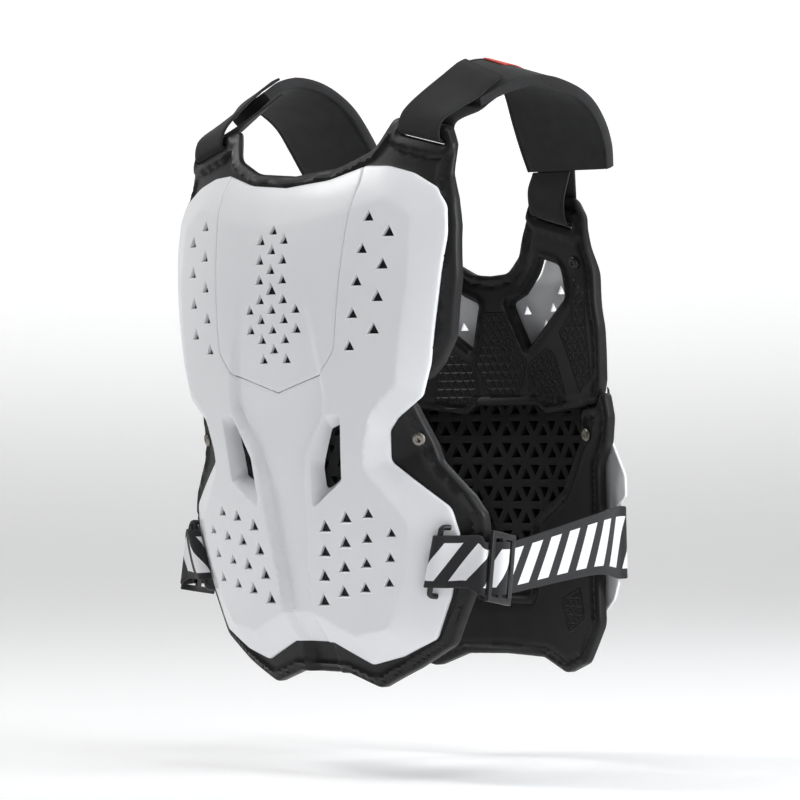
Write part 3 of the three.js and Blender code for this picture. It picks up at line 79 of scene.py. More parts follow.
# half outlines from the middle of the top: share of half width, share of reach, corner radius
outlines = {
    "shell": [(0, 0.178, 0), (0.29, 0.169, 60), (0.51, 0.147, 6), (0.64, 0.149, 25), (0.79, 0.163, 30),
              (0.93, 0.19, 14), (0.985, 0.222, 12), (0.997, 0.27, 40), (0.96, 0.375, 80),
              (0.91, 0.485, 40), (0.855, 0.54, 8), (0.71, 0.577, 8), (0.66, 0.598, 6), (0.645, 0.65, 7),
              (0.935, 0.728, 12), (0.96, 0.775, 14), (0.875, 0.878, 30), (0.77, 0.952, 8),
              (0.57, 0.984, 10), (0.386, 1.0, 7), (0.145, 0.964, 5), (0, 0.964, 0)],
    "crease": [(0, 0.25, 0), (0.45, 0.23, 30), (0.69, 0.204, 12), (0.83, 0.238, 6), (0.84, 0.345, 20),
               (0.76, 0.52, 6), (0.61, 0.569, 4), (0.545, 0.63, 4), (0.54, 0.667, 4), (0.755, 0.755, 4),
               (0.735, 0.812, 6), (0.64, 0.898, 6), (0.57, 0.936, 3), (0.37, 0.948, 3),
               (0.11, 0.911, 3), (0, 0.911, 0)],
    "panel": [(0, 0.1, 0), (0.49, 0.1, 0), (0.49, 0.15, 0), (0.505, 0.175, 5), (0.475, 0.26, 60),
              (0.435, 0.42, 30), (0.42, 0.462, 12), (0.325, 0.5, 6), (0, 0.532, 0)],
    "upperLiner": [(0, 0.156, 0), (0.3, 0.147, 50), (0.5, 0.118, 18), (0.575, 0.062, 8),
                   (0.925, 0.083, 8), (0.965, 0.115, 10), (0.963, 0.165, 8), (1, 0.208, 14),
                   (1.02, 0.255, 30), (1.028, 0.34, 60), (0.996, 0.44, 30), (0.935, 0.485, 14),
                   (0.87, 0.512, 6), (0.5, 0.525, 4), (0, 0.525, 0)],
    "lowerLiner": [(0, 0.528, 0), (0.5, 0.528, 4), (0.76, 0.528, 6), (0.8, 0.575, 8), (0.87, 0.65, 10),
                   (1.01, 0.706, 12), (1.06, 0.74, 12), (1.06, 0.775, 14), (0.95, 0.88, 30),
                   (0.83, 0.962, 12), (0.62, 1.004, 16), (0.385, 1.041, 9), (0.18, 1.018, 6),
                   (0, 1.018, 0)],
    "netPad": [(0, 0.535, 0), (0.52, 0.535, 6), (0.52, 0.765, 6), (0, 0.765, 0)],
    "upperPad": [(0, 0.303, 0), (0.15, 0.3, 22), (0.3, 0.272, 22), (0.42, 0.225, 20), (0.52, 0.172, 9),
                 (0.87, 0.18, 10), (0.925, 0.212, 12), (0.9, 0.262, 10), (0.905, 0.29, 10),
                 (0.92, 0.33, 20), (0.96, 0.4, 40), (0.925, 0.49, 10), (0.87, 0.53, 8),
                 (0.34, 0.548, 6), (0.25, 0.532, 6), (0, 0.532, 0)],
    "lowerPad": [(0, 0.868, 0), (0.2, 0.868, 4), (0.2, 0.735, 8), (0.49, 0.68, 8), (0.68, 0.59, 6),
                 (0.7, 0.541, 3), (0.86, 0.536, 4), (0.9, 0.515, 6), (0.955, 0.512, 8),
                 (0.99, 0.555, 16), (0.96, 0.6, 12), (0.865, 0.635, 20), (0.865, 0.75, 40),
                 (0.868, 0.85, 30), (0.895, 0.912, 16), (0.74, 0.98, 12), (0.55, 1, 12),
                 (0.33, 0.975, 16), (0, 0.972, 0)],
    "backNet": [(0, 0.5, 0), (0.82, 0.5, 5), (0.8, 0.605, 6), (0.58, 0.7, 6), (0.31, 0.757, 6),
                (0.31, 0.885, 5), (0, 0.885, 0)],
    "backShell": [(0, 0.33, 0), (0.3, 0.315, 20), (0.5, 0.255, 14), (0.78, 0.268, 12),
                  (0.84, 0.315, 12), (0.86, 0.45, 20), (0.84, 0.53, 8), (0.87, 0.588, 8),
                  (1.03, 0.655, 8), (1.035, 0.69, 5), (0.93, 0.708, 4), (0.93, 0.74, 5),
                  (0.96, 0.8, 12), (0.965, 0.84, 10), (0.92, 0.87, 10), (0.76, 0.905, 12),
                  (0.55, 0.94, 10), (0.3, 0.93, 10), (0, 0.93, 0)],
}
# closed outlines on one side: windows and openings
loops = {
    "windowRim": [(0.345, 0.573, 2), (0.437, 0.573, 3), (0.405, 0.685, 3), (0.2, 0.732, 3),
                  (0.222, 0.645, 6)],
    "windowFloor": [(0.32, 0.594, 2), (0.405, 0.582, 3), (0.367, 0.674, 3), (0.234, 0.7, 3),
                    (0.24, 0.66, 6)],
    "linerOpening": [(0.1, 0.56, 4), (0.46, 0.56, 4), (0.44, 0.69, 4), (0.1, 0.74, 4)],
    "padWindow": [(0.47, 0.277, 4), (0.61, 0.29, 6), (0.64, 0.348, 6), (0.23, 0.436, 3),
                  (0.12, 0.352, 4), (0.24, 0.338, 5)],
}


# plane geometry
def along(rows, column, drop):
    xs = np.array([row[0] for row in rows], float)
    ys = np.array([row[column] for row in rows], float)
    slopes = np.empty_like(xs)
    slopes[1:-1] = (ys[2:] - ys[:-2]) / (xs[2:] - xs[:-2])
    slopes[0] = (ys[1] - ys[0]) / (xs[1] - xs[0])
    slopes[-1] = (ys[-1] - ys[-2]) / (xs[-1] - xs[-2])
    drop = np.asarray(drop, float)
    held = np.minimum(drop, xs[-1])
    row = np.clip(np.searchsorted(xs, held, side="right") - 1, 0, len(xs) - 2)
    span = xs[row + 1] - xs[row]
    t = np.clip((held - xs[row]) / span, 0, 1)
    smooth = ((2 * t ** 3 - 3 * t ** 2 + 1) * ys[row] + (t ** 3 - 2 * t ** 2 + t) * span * slopes[row]
              + (3 * t ** 2 - 2 * t ** 3) * ys[row + 1] + (t ** 3 - t ** 2) * span * slopes[row + 1])
    return np.where(drop < xs[0], ys[0] + slopes[0] * (drop - xs[0]), smooth)


def roundedLine(rows, halfWidth, reach, closed=False, steps=6):
    corners = [np.array((out * halfWidth, -drop * reach)) for out, drop, _ in rows]
    count = len(corners)
    points = []
    for index, (corner, row) in enumerate(zip(corners, rows)):
        if not row[2] or (not closed and index in (0, count - 1)):
            points.append(corner)
            continue
        into = corners[index - 1] - corner
        onward = corners[(index + 1) % count] - corner
        lengths = np.linalg.norm(into), np.linalg.norm(onward)
        half = math.acos(np.clip(into @ onward / (lengths[0] * lengths[1]), -1, 1)) / 2
        run = min(row[2] / math.tan(half), lengths[0] * 0.45, lengths[1] * 0.45)
        start, end = corner + into / lengths[0] * run, corner + onward / lengths[1] * run
        for step in range(steps + 1):
            t = step / steps
            points.append((1 - t) ** 2 * start + 2 * t * (1 - t) * corner + t ** 2 * end)
    return np.array(points)


def wholeOutline(name, plate):
    half = roundedLine(outlines[name], plate["halfWidth"], plate["reach"])
    others = half[half[:, 0] > 1e-6] * (-1, 1)
    return np.vstack([half, others[::-1]])


def sideLoop(name, plate, side):
    line = roundedLine(loops[name], plate["halfWidth"], plate["reach"], closed=True)
    return line * (side, 1)


def resampled(line, spacing, closed=True):
    points = np.vstack([line, line[:1]]) if closed else line
    lengths = np.linalg.norm(np.diff(points, axis=0), axis=1)
    points = points[np.concatenate([[True], lengths > 1e-6])]
    lengths = np.linalg.norm(np.diff(points, axis=0), axis=1)
    reach = np.concatenate([[0], np.cumsum(lengths)])
    count = max(int(round(reach[-1] / spacing)), 6)
    places = np.linspace(0, reach[-1], count + 1)
    made = np.column_stack([np.interp(places, reach, points[:, axis]) for axis in range(points.shape[1])])
    return made[:-1] if closed else made


def distanceTo(line, points, closed=True):
    ends = np.vstack([line, line[:1]]) if closed else line
    starts, spans = ends[:-1], np.diff(ends, axis=0)
    sizes = np.maximum((spans ** 2).sum(1), 1e-12)
    nearest = np.full(len(points), np.inf)
    for start, span, size in zip(starts, spans, sizes):
        offset = points - start
        share = np.clip(offset @ span / size, 0, 1)
        nearest = np.minimum(nearest, ((offset - share[:, None] * span) ** 2).sum(1))
    return np.sqrt(nearest)


def isInside(line, points):
    inside = np.zeros(len(points), bool)
    x, z = points[:, 0], points[:, 1]
    for a, b in zip(line, np.roll(line, 1, axis=0)):
        crosses = (a[1] > z) != (b[1] > z)
        if crosses.any():
            inside ^= crosses & (x < (b[0] - a[0]) * (z - a[1]) / (b[1] - a[1] + 1e-30) + a[0])
    return inside


def smoothStep(value, low=0.0, high=1.0):
    t = np.clip((value - low) / (high - low), 0, 1)
    return t * t * (3 - 2 * t)


# faces of the two plates, as depth over (x, z)
shellLine = wholeOutline("shell", front)
creaseLine = wholeOutline("crease", front)


def frontPlain(x, z):
    drop = -z / front["reach"]
    bow = front["bow"] * along(frontProfile, 2, drop) * (x / front["halfWidth"]) ** 2
    return bow - front["depth"] * along(frontProfile, 1, drop)


def channelSink(x, z):
    drop = np.maximum(-z / front["reach"], channelTable[0][0])
    edge = along(channelTable, 1, drop) * front["halfWidth"]
    wall = along(channelTable, 2, drop) * front["halfWidth"]
    depth = along(channelTable, 3, drop) * front["channel"]
    share = np.clip((edge - np.abs(x)) / wall, 0, 1)
    share = 0.45 * share + 0.55 * smoothStep(share)
    return depth * share * np.clip((-z / front["reach"] - 0.2) / 0.05, 0, 1)


def frontFace(x, z):
    points = np.column_stack([x, z])
    drop = -z / front["reach"]
    toEdge = distanceTo(shellLine, points)
    toCrease = distanceTo(creaseLine, points)
    edgeDrop = front["edgeDrop"] * along(frontEdge, 1, drop)
    spread = np.clip((np.abs(x) / front["halfWidth"] - 0.25) / 0.3, 0, 1)
    slope = front["neckSlope"] + (along(frontSlope, 1, drop) - front["neckSlope"]) * spread
    share = toCrease / (toCrease + toEdge)
    soft = 0.02
    share = (np.sqrt(share ** 2 + soft ** 2) - soft) / (math.sqrt(1 + soft ** 2) - soft)
    between = edgeDrop * share
    outside = edgeDrop + slope * toEdge
    fall = np.where(isInside(creaseLine, points), 0,
                    np.where(isInside(shellLine, points), between, outside))
    return frontPlain(x, z) + channelSink(x, z) + fall


def linerNear(x, z):
    return frontFace(x, z) + front["shellWall"] + front["seat"]


def thinning(z, plate, shift=0.0):
    share = np.clip(((-z - shift * plate["reach"]) / plate["reach"] - 0.15) / 0.08, 0, 1)
    wall = "linerWall" if "linerWall" in plate else "padWall"
    return plate["earWall"] + (plate[wall] - plate["earWall"]) * share


def linerFar(x, z):
    return linerNear(x, z) + thinning(z, front)


def backFace(x, z):
    drop = -z / back["reach"]
    bow = back["bow"] * along(backProfile, 2, drop) * (x / back["halfWidth"]) ** 2
    return back["depth"] * along(backProfile, 1, drop) - bow


def padFar(x, z):
    return backFace(x, z) + thinning(z, back, 0.08)


def netNear(x, z):
    return backFace(x, z) + back["padWall"] + back["seat"]


def backShellNear(x, z):
    return netNear(x, z) + back["standOff"]


# meshes
def newObject(name, points, faces, material, smoothAngle=38):
    mesh = bpy.data.meshes.new(name)
    mesh.from_pydata([tuple(p) for p in points], [], faces)
    mesh.validate()
    made = bpy.data.objects.new(name, mesh)
    scene.collection.objects.link(made)
    finishMesh(made, material, smoothAngle)
    return made


def finishMesh(made, material, smoothAngle=38):
    made.data.materials.clear()
    made.data.materials.append(material)
    for polygon in made.data.polygons:
        polygon.use_smooth = True
        polygon.material_index = 0
    made.data.set_sharp_from_angle(angle=math.radians(smoothAngle))


def offsetRing(line, inward, sign):
    before, after = np.roll(line, 1, axis=0), np.roll(line, -1, axis=0)
    run = after - before
    run /= np.maximum(np.linalg.norm(run, axis=1), 1e-9)[:, None]
    return line + sign * inward * np.column_stack([run[:, 1], -run[:, 0]])


def triangulated(outline, openings, spacing, ringOffsets, extra):
    # triangles of a flat region with openings, finer in rings along its edges
    bounds = [outline] + openings
    bounds = [line if signedArea(line) > 0 else line[::-1] for line in bounds]
    points, edges, start = [], [], 0
    for line in bounds:
        points.append(line)
        count = len(line)
        edges += [(start + k, start + (k + 1) % count) for k in range(count)]
        start += count
    kept = []
    for index, line in enumerate(bounds):
        for inward in ringOffsets:
            ring = offsetRing(line, inward, -1 if index == 0 else 1)
            kept.append((ring, inward))
    low, high = bounds[0].min(0), bounds[0].max(0)
    rowStep = spacing * math.sqrt(3) / 2
    rows = np.arange(low[1], high[1], rowStep)
    grid = np.vstack([np.column_stack([np.arange(low[0] + (k % 2) * spacing / 2, high[0], spacing),
                                       np.full(len(np.arange(low[0] + (k % 2) * spacing / 2, high[0],
                                                             spacing)), z)])
                      for k, z in enumerate(rows)])
    kept.append((grid, max(ringOffsets[-1:] + [0]) + spacing * 0.35))
    for line in extra:
        kept.append((line, spacing * 0.4))
    inner = []
    for candidate, clearance in kept:
        inside = isInside(bounds[0], candidate)
        for line in bounds[1:]:
            inside &= ~isInside(line, candidate)
        candidate = candidate[inside]
        away = np.min([distanceTo(line, candidate) for line in bounds], axis=0)
        inner.append(candidate[away > clearance * 0.8])
    flat = np.vstack(points + inner)
    made = delaunay_2d_cdt([Vector(p) for p in flat], edges, [], 0, 1e-5)
    flat = np.array([tuple(v) for v in made[0]])
    triangles = np.array([face for face in made[2] if len(face) == 3])
    centres = flat[triangles].mean(axis=1)
    inside = isInside(bounds[0], centres)
    for line in bounds[1:]:
        inside &= ~isInside(line, centres)
    triangles = triangles[inside]
    corners = flat[triangles]
    cross = np.cross(corners[:, 1] - corners[:, 0], corners[:, 2] - corners[:, 0])
    triangles[cross < 0] = triangles[cross < 0][:, ::-1]
    used = np.unique(triangles)
    remap = -np.ones(len(flat), int)
    remap[used] = np.arange(len(used))
    return flat[used], remap[triangles], bounds


def signedArea(line):
    x, z = line[:, 0], line[:, 1]
    return 0.5 * float(np.sum(x * np.roll(z, -1) - np.roll(x, -1) * z))


def plate(name, material, outline, near, far, openings=(), spacing=4.0, edgeRound=1.2, extra=(),
          edgeSpacing=2.0, smoothAngle=38):
    # closed body between two faces over a region, with rounded edges
    outline = resampled(outline, edgeSpacing)
    openings = [resampled(line, edgeSpacing) for line in openings]
    offsets = [edgeRound * share for share in (0.12, 0.45, 1.0)]
    flat, triangles, bounds = triangulated(outline, openings, spacing, offsets, list(extra))
    toEdge = np.min([distanceTo(line, flat) for line in bounds], axis=0)
    toEdge = np.where(toEdge < 1e-4, 0, toEdge)
    inward = np.clip(1 - toEdge / edgeRound, 0, 1)
    fall = edgeRound * (1 - np.sqrt(1 - inward ** 2))
    x, z = flat[:, 0], flat[:, 1]
    nearDepth, farDepth = near(x, z), far(x, z)
    middle = (nearDepth + farDepth) / 2
    nearDepth = np.minimum(nearDepth + fall, middle - 0.05)
    farDepth = np.maximum(farDepth - fall, middle + 0.05)
    nearPoints = np.column_stack([x, nearDepth, z])
    farPoints = np.column_stack([x, farDepth, z])
    count = len(flat)
    faces = [tuple(t) for t in triangles] + [tuple(t[::-1] + count) for t in triangles]
    sides = {}
    for a, b, c in triangles:
        for edge in ((a, b), (b, c), (c, a)):
            sides[edge] = True
    for a, b in sides:
        if (b, a) not in sides:
            faces.append((b, a, a + count, b + count))
    return newObject(name, np.vstack([nearPoints, farPoints]) * mm, faces, material, smoothAngle)


# node trees
class Value:
    # a node socket with arithmetic
    def __init__(self, maker, socket):
        self.maker, self.socket = maker, socket

    def math(self, operation, other=None, swap=False, clamp=False):
        first, second = (other, self) if swap else (self, other)
        inputs = {0: first} if second is None else {0: first, 1: second}
        return self.maker.node("ShaderNodeMath", {"operation": operation, "use_clamp": clamp},
                               inputs)["Value"]

    def __add__(self, other):
        return self.math("ADD", other)

    def __radd__(self, other):
        return self.math("ADD", other)

    def __sub__(self, other):
        return self.math("SUBTRACT", other)

    def __rsub__(self, other):
        return self.math("SUBTRACT", other, swap=True)

    def __mul__(self, other):
        return self.math("MULTIPLY", other)

    def __rmul__(self, other):
        return self.math("MULTIPLY", other)

    def __truediv__(self, other):
        return self.math("DIVIDE", other)

    def __rtruediv__(self, other):
        return self.math("DIVIDE", other, swap=True)

    def __mod__(self, other):
        return self.math("FLOORED_MODULO", other)

    def __lt__(self, other):
        return self.math("LESS_THAN", other)

    def __gt__(self, other):
        return self.math("GREATER_THAN", other)

    def __abs__(self):
        return self.math("ABSOLUTE")


class NodeMaker:
    # makes nodes in one tree: a type, its settings, and the values or links of its sockets
    def __init__(self, tree):
        self.tree = tree

    def node(self, kind, settings=None, inputs=None):
        made = self.tree.nodes.new(kind)
        for key, value in (settings or {}).items():
            setattr(made, key, value)
        for key, value in (inputs or {}).items():
            values = value if isinstance(value, list) else [value]
            for one in values:
                if isinstance(one, Value):
                    self.tree.links.new(one.socket, made.inputs[key])
                elif one is not None:
                    made.inputs[key].default_value = one
        made = {index: Value(self, output) for index, output in enumerate(made.outputs)}
        made.update({value.socket.name: value for value in reversed(list(made.values()))})
        return made


def newMaterial(name, color, roughness=0.5, metallic=0.0, **constants):
    material = bpy.data.materials.new(name)
    material.use_nodes = True
    maker = NodeMaker(material.node_tree)
    shader = material.node_tree.nodes["Principled BSDF"]
    shader.inputs["Base Color"].default_value = (*color, 1)
    shader.inputs["Roughness"].default_value = roughness
    shader.inputs["Metallic"].default_value = metallic
    for key, value in constants.items():
        shader.inputs[key.replace("_", " ")].default_value = value
    return material, maker, shader


def feed(maker, shader, key, value):
    maker.tree.links.new(value.socket, shader.inputs[key])


def addBump(maker, shader, height, strength, distance):
    bump = maker.node("ShaderNodeBump", {},
                      {"Strength": strength, "Distance": distance * mm, "Height": height})
    feed(maker, shader, "Normal", bump["Normal"])


def mixColor(maker, factor, first, second):
    return maker.node("ShaderNodeMix", {"data_type": "RGBA"}, {0: factor, 6: first, 7: second})[2]


def objectNoise(maker, size, detail=2.0, stretch=(1, 1, 1)):
    place = maker.node("ShaderNodeTexCoord")["Object"]
    place = maker.node("ShaderNodeMapping", {}, {"Vector": place, "Scale": stretch})["Vector"]
    return maker.node("ShaderNodeTexNoise", {},
                      {"Vector": place, "Scale": 1 / (size * mm), "Detail": detail})["Fac"]


finishes = {"shellWhite": (0.86, 0.87, 0.895), "foamBlack": (0.008, 0.008, 0.0085),
            "netBlack": (0.008, 0.008, 0.0085), "webbingBlack": (0.007, 0.007, 0.0072),
            "elasticGrey": (0.008, 0.008, 0.009), "barWhite": (0.82, 0.82, 0.84),
            "padBlack": (0.011, 0.011, 0.0115), "tagRed": (0.5, 0.05, 0.04),
            "rivetMetal": (0.28, 0.26, 0.23),
            "plasticBlack": (0.01, 0.01, 0.011), "clipGrey": (0.25, 0.25, 0.26)}


def shellMaterial():
    material, maker, shader = newMaterial("shellWhite", finishes["shellWhite"], 0.36, Coat_Weight=0.12,
                                          Coat_Roughness=0.25)
    broad = objectNoise(maker, 70, 2)
    fine = objectNoise(maker, 0.8, 3)
    feed(maker, shader, "Roughness", broad * 0.1 + 0.32)
    tint = mixColor(maker, broad, (0.845, 0.855, 0.885, 1), (0.875, 0.882, 0.9, 1))
    feed(maker, shader, "Base Color", tint)
    addBump(maker, shader, fine, 0.12, 0.05)
    return material


def foamMaterial(name, color, grain=0.9, sheen=0.06, roughness=0.58):
    material, maker, shader = newMaterial(name, color, roughness, Sheen_Weight=sheen, Sheen_Roughness=0.4,
                                          Specular_IOR_Level=0.25)
    place = maker.node("ShaderNodeTexCoord")["Object"]
    cells = maker.node("ShaderNodeTexVoronoi", {"feature": "F1"},
                       {"Vector": place, "Scale": 1 / (grain * mm)})["Distance"]
    broad = objectNoise(maker, 30, 3)
    lighter = tuple(min(channel * 1.7 + 0.004, 1) for channel in color)
    feed(maker, shader, "Base Color", mixColor(maker, broad, (*color, 1), (*lighter, 1)))
    feed(maker, shader, "Roughness", broad * 0.15 + (roughness - 0.08))
    addBump(maker, shader, cells, 0.35, 0.12)
    return material


emboss = {"size": 8.2, "line": 0.16, "depth": 0.9, "rim": 1.1}


def embossedFoam(name, color):
    # foam with fields of small raised triangles where the attribute "emboss" is set
    material, maker, shader = newMaterial(name, color, 0.46, Specular_IOR_Level=0.2)
    place = maker.node("ShaderNodeTexCoord")["Object"]
    parts = maker.node("ShaderNodeSeparateXYZ", {}, {"Vector": place})
    field = maker.node("ShaderNodeAttribute", {"attribute_name": "emboss"})["Fac"]
    nearest = None
    for angle in (0, 60, 120):
        turned = parts["X"] * math.sin(math.radians(angle)) + parts["Z"] * math.cos(math.radians(angle))
        run = turned / (emboss["size"] * mm * 0.866)
        toLine = abs((run + 0.5) % 1.0 - 0.5)
        nearest = toLine if nearest is None else nearest.math("MINIMUM", toLine)
    raised = (nearest / emboss["line"]).math("MINIMUM", 1.0)
    inField = (field * 4 - 2).math("MINIMUM", 1.0).math("MAXIMUM", 0.0)
    rim = (1 - abs(field - 0.35) * 5).math("MAXIMUM", 0.0)
    cells = maker.node("ShaderNodeTexVoronoi", {"feature": "F1"},
                       {"Vector": place, "Scale": 1 / (1.0 * mm)})["Distance"]
    height = raised * inField * emboss["depth"] + rim * emboss["rim"] + cells * 0.06
    broad = objectNoise(maker, 30, 3)
    lighter = tuple(min(channel * 1.7 + 0.004, 1) for channel in color)
    feed(maker, shader, "Base Color", mixColor(maker, broad, (*color, 1), (*lighter, 1)))
    feed(maker, shader, "Roughness", broad * 0.12 + 0.4)
    addBump(maker, shader, height, 0.9, 1.1)
    return material


def clothMaterial(name, color, pitch, rough=0.85, fuzz=0.0, sheen=0.05):
    # woven cloth on the piece's own map, whose numbers are metres along and across
    material, maker, shader = newMaterial(name, color, rough, Sheen_Weight=sheen, Sheen_Roughness=0.5)
    place = maker.node("ShaderNodeUVMap", {"uv_map": "cloth"})["UV"]
    split = maker.node("ShaderNodeSeparateXYZ", {}, {"Vector": place})
    step = pitch * mm
    warp = abs((split["X"] % step) / step - 0.5) * 2.0
    weft = abs((split["Y"] % step) / step - 0.5) * 2.0
    height = warp * 0.5 + weft * 0.5
    if fuzz:
        height = height * (1 - fuzz) + objectNoise(maker, 0.9, 6) * fuzz
    broad = objectNoise(maker, 12, 4)
    lighter = tuple(min(channel * 1.9 + 0.006, 1) for channel in color)
    feed(maker, shader, "Base Color", mixColor(maker, broad, (*color, 1), (*lighter, 1)))
    addBump(maker, shader, height, 0.5, 0.25)
    return material


def elasticMaterial():
    # ribbed elastic with plain slanted bars, on the strap's own map
    bars = {"pitch": 27, "bar": 15, "slant": -0.5, "low": -0.36, "high": 0.36, "rib": 0.9, "thread": 1.1}
    material, maker, shader = newMaterial("elasticBars", finishes["elasticGrey"], 0.8, Sheen_Weight=0.04)
    place = maker.node("ShaderNodeUVMap", {"uv_map": "cloth"})["UV"]
    split = maker.node("ShaderNodeSeparateXYZ", {}, {"Vector": place})
    width = maker.node("ShaderNodeAttribute", {"attribute_name": "strapShare"})["Fac"]
    slid = split["X"] / mm + split["Y"] * (-bars["slant"] / mm)
    within = (slid % bars["pitch"]) < bars["bar"]
    mask = within * (width > bars["low"]) * (width < bars["high"])
    rib = abs(((split["X"] / mm) % bars["rib"]) / bars["rib"] - 0.5) * 2.0
    thread = abs(((split["Y"] / mm) % bars["thread"]) / bars["thread"] - 0.5) * 2.0
    dark = mixColor(maker, rib, (*finishes["elasticGrey"], 1), (0.02, 0.02, 0.023, 1))
    feed(maker, shader, "Base Color", mixColor(maker, mask, dark, (*finishes["barWhite"], 1)))
    addBump(maker, shader, rib * 0.6 + thread * 0.4, 0.5, 0.2)
    return material


def smoothPlastic(name, color, roughness, metallic=0.0):
    material, maker, shader = newMaterial(name, color, roughness, metallic)
    broad = objectNoise(maker, 9, 4)
    feed(maker, shader, "Roughness", broad * 0.18 + (roughness - 0.09))
    addBump(maker, shader, objectNoise(maker, 0.6, 3), 0.15, 0.05)
    return material


shellWhite = shellMaterial()
foamBlack = foamMaterial("foamBlack", finishes["foamBlack"], 0.9, 0.02, 0.42)
foamInner = embossedFoam("foamInner", finishes["foamBlack"])
netBlack = foamMaterial("netBlack", finishes["netBlack"], 1.2, 0.02, 0.75)
padBlack = clothMaterial("padCloth", finishes["padBlack"], 1.4)
webbingBlack = clothMaterial("hookLoopWebbing", finishes["webbingBlack"], 1.2, 0.95, 0.8, 0.08)
elasticBars = elasticMaterial()
tagRed = clothMaterial("tagRed", finishes["tagRed"], 0.9, 0.7)
rivetMetal = smoothPlastic("rivetMetal", finishes["rivetMetal"], 0.42, 0.9)
plasticBlack = smoothPlastic("plasticBlack", finishes["plasticBlack"], 0.42)
clipGrey = smoothPlastic("clipGrey", finishes["clipGrey"], 0.5)
print("materials ready")


# geometry node trees for what repeats
def newTree(name, sockets):
    tree = bpy.data.node_groups.new(name, "GeometryNodeTree")
    tree.interface.new_socket("Geometry", in_out="INPUT", socket_type="NodeSocketGeometry")
    for label, kind, value in sockets:
        socket = tree.interface.new_socket(label, in_out="INPUT", socket_type=kind)
        if value is not None:
            socket.default_value = value
    tree.interface.new_socket("Geometry", in_out="OUTPUT", socket_type="NodeSocketGeometry")
    return tree, NodeMaker(tree)


def closeTree(maker, geometry, source):
    realized = maker.node("GeometryNodeRealizeInstances", {}, {"Geometry": geometry})["Geometry"]
    dressed = maker.node("GeometryNodeSetMaterial", {},
                         {"Geometry": realized, "Material": source["Material"]})["Geometry"]
    maker.node("NodeGroupOutput", {}, {"Geometry": dressed})


def placedInstances(maker, points, instance):
    # instances on points, turned and sized by the points' own attributes
    turned = maker.node("GeometryNodeInputNamedAttribute", {"data_type": "FLOAT_VECTOR"},
                        {"Name": "turn"})["Attribute"]
    rotation = maker.node("FunctionNodeEulerToRotation", {}, {"Euler": turned})["Rotation"]
    sized = maker.node("GeometryNodeInputNamedAttribute", {"data_type": "FLOAT_VECTOR"},
                       {"Name": "size"})["Attribute"]
    return maker.node("GeometryNodeInstanceOnPoints", {},
                      {"Points": points, "Instance": instance, "Rotation": rotation,
                       "Scale": sized})["Instances"]


def makePierceTree():
    # cuts three-sided tapered holes with a chamfer at their mouths
    tree, maker = newTree("pierce", [
        ("Places", "NodeSocketObject", None), ("Hole radius", "NodeSocketFloat", 5 * mm),
        ("Taper", "NodeSocketFloat", 0.7), ("Depth", "NodeSocketFloat", 8 * mm),
        ("Chamfer", "NodeSocketFloat", 0.6 * mm), ("Material", "NodeSocketMaterial", None)])
    source = maker.node("NodeGroupInput")
    radius, depth, chamfer = source["Hole radius"], source["Depth"], source["Chamfer"]
    body = maker.node("GeometryNodeMeshCone", {"fill_type": "NGON"},
                      {"Vertices": 3, "Side Segments": 1, "Radius Top": radius * source["Taper"],
                       "Radius Bottom": radius, "Depth": depth})["Mesh"]
    mouth = maker.node("GeometryNodeMeshCone", {"fill_type": "NGON"},
                       {"Vertices": 3, "Side Segments": 1, "Radius Top": radius * 0.94,
                        "Radius Bottom": radius + chamfer * 3.6,
                        "Depth": chamfer * 2.0})["Mesh"]
    mouth = maker.node("GeometryNodeTransform", {},
                       {"Geometry": mouth, "Translation": maker.node("ShaderNodeCombineXYZ", {},
                               {"Z": chamfer * -1.0})["Vector"]})["Geometry"]
    body = maker.node("GeometryNodeTransform", {},
                      {"Geometry": body, "Translation": maker.node("ShaderNodeCombineXYZ", {},
                              {"Z": -0.3 * mm})["Vector"]})["Geometry"]
    info = maker.node("GeometryNodeObjectInfo", {}, {"Object": source["Places"]})["Geometry"]
    cutters = []
    for cutter in (body, mouth):
        placed = placedInstances(maker, info, cutter)
        cutters.append(maker.node("GeometryNodeRealizeInstances", {}, {"Geometry": placed})["Geometry"])
    cut = source["Geometry"]
    for cutter in cutters:
        cut = maker.node("GeometryNodeMeshBoolean", {"operation": "DIFFERENCE", "solver": "MANIFOLD"},
                         {"Mesh 1": cut, "Mesh 2": [cutter]})["Mesh"]
    closeTree(maker, cut, source)
    return tree


def makeRepeatTree():
    # repeats one small piece over points
    tree, maker = newTree("repeatPiece", [
        ("Piece", "NodeSocketObject", None), ("Scale", "NodeSocketFloat", 1.0),
        ("Material", "NodeSocketMaterial", None)])
    source = maker.node("NodeGroupInput")
    piece = maker.node("GeometryNodeObjectInfo", {}, {"Object": source["Piece"]})["Geometry"]
    piece = maker.node("GeometryNodeTransform", {}, {"Geometry": piece, "Scale": maker.node(
        "ShaderNodeCombineXYZ", {}, {"X": source["Scale"], "Y": source["Scale"],
                                     "Z": source["Scale"]})["Vector"]})["Geometry"]
    closeTree(maker, placedInstances(maker, source["Geometry"], piece), source)
    return tree


def runTree(made, tree, values):
    modifier = made.modifiers.new(tree.name, "NODES")
    modifier.node_group = tree
    for item in tree.interface.items_tree:
        if item.item_type == "SOCKET" and item.in_out == "INPUT" and item.name in values:
            modifier[item.identifier] = values[item.name]
    bpy.context.view_layer.update()
    graph = bpy.context.evaluated_depsgraph_get()
    mesh = bpy.data.meshes.new_from_object(made.evaluated_get(graph), depsgraph=graph)
    made.modifiers.clear()
    made.data = mesh
    return made


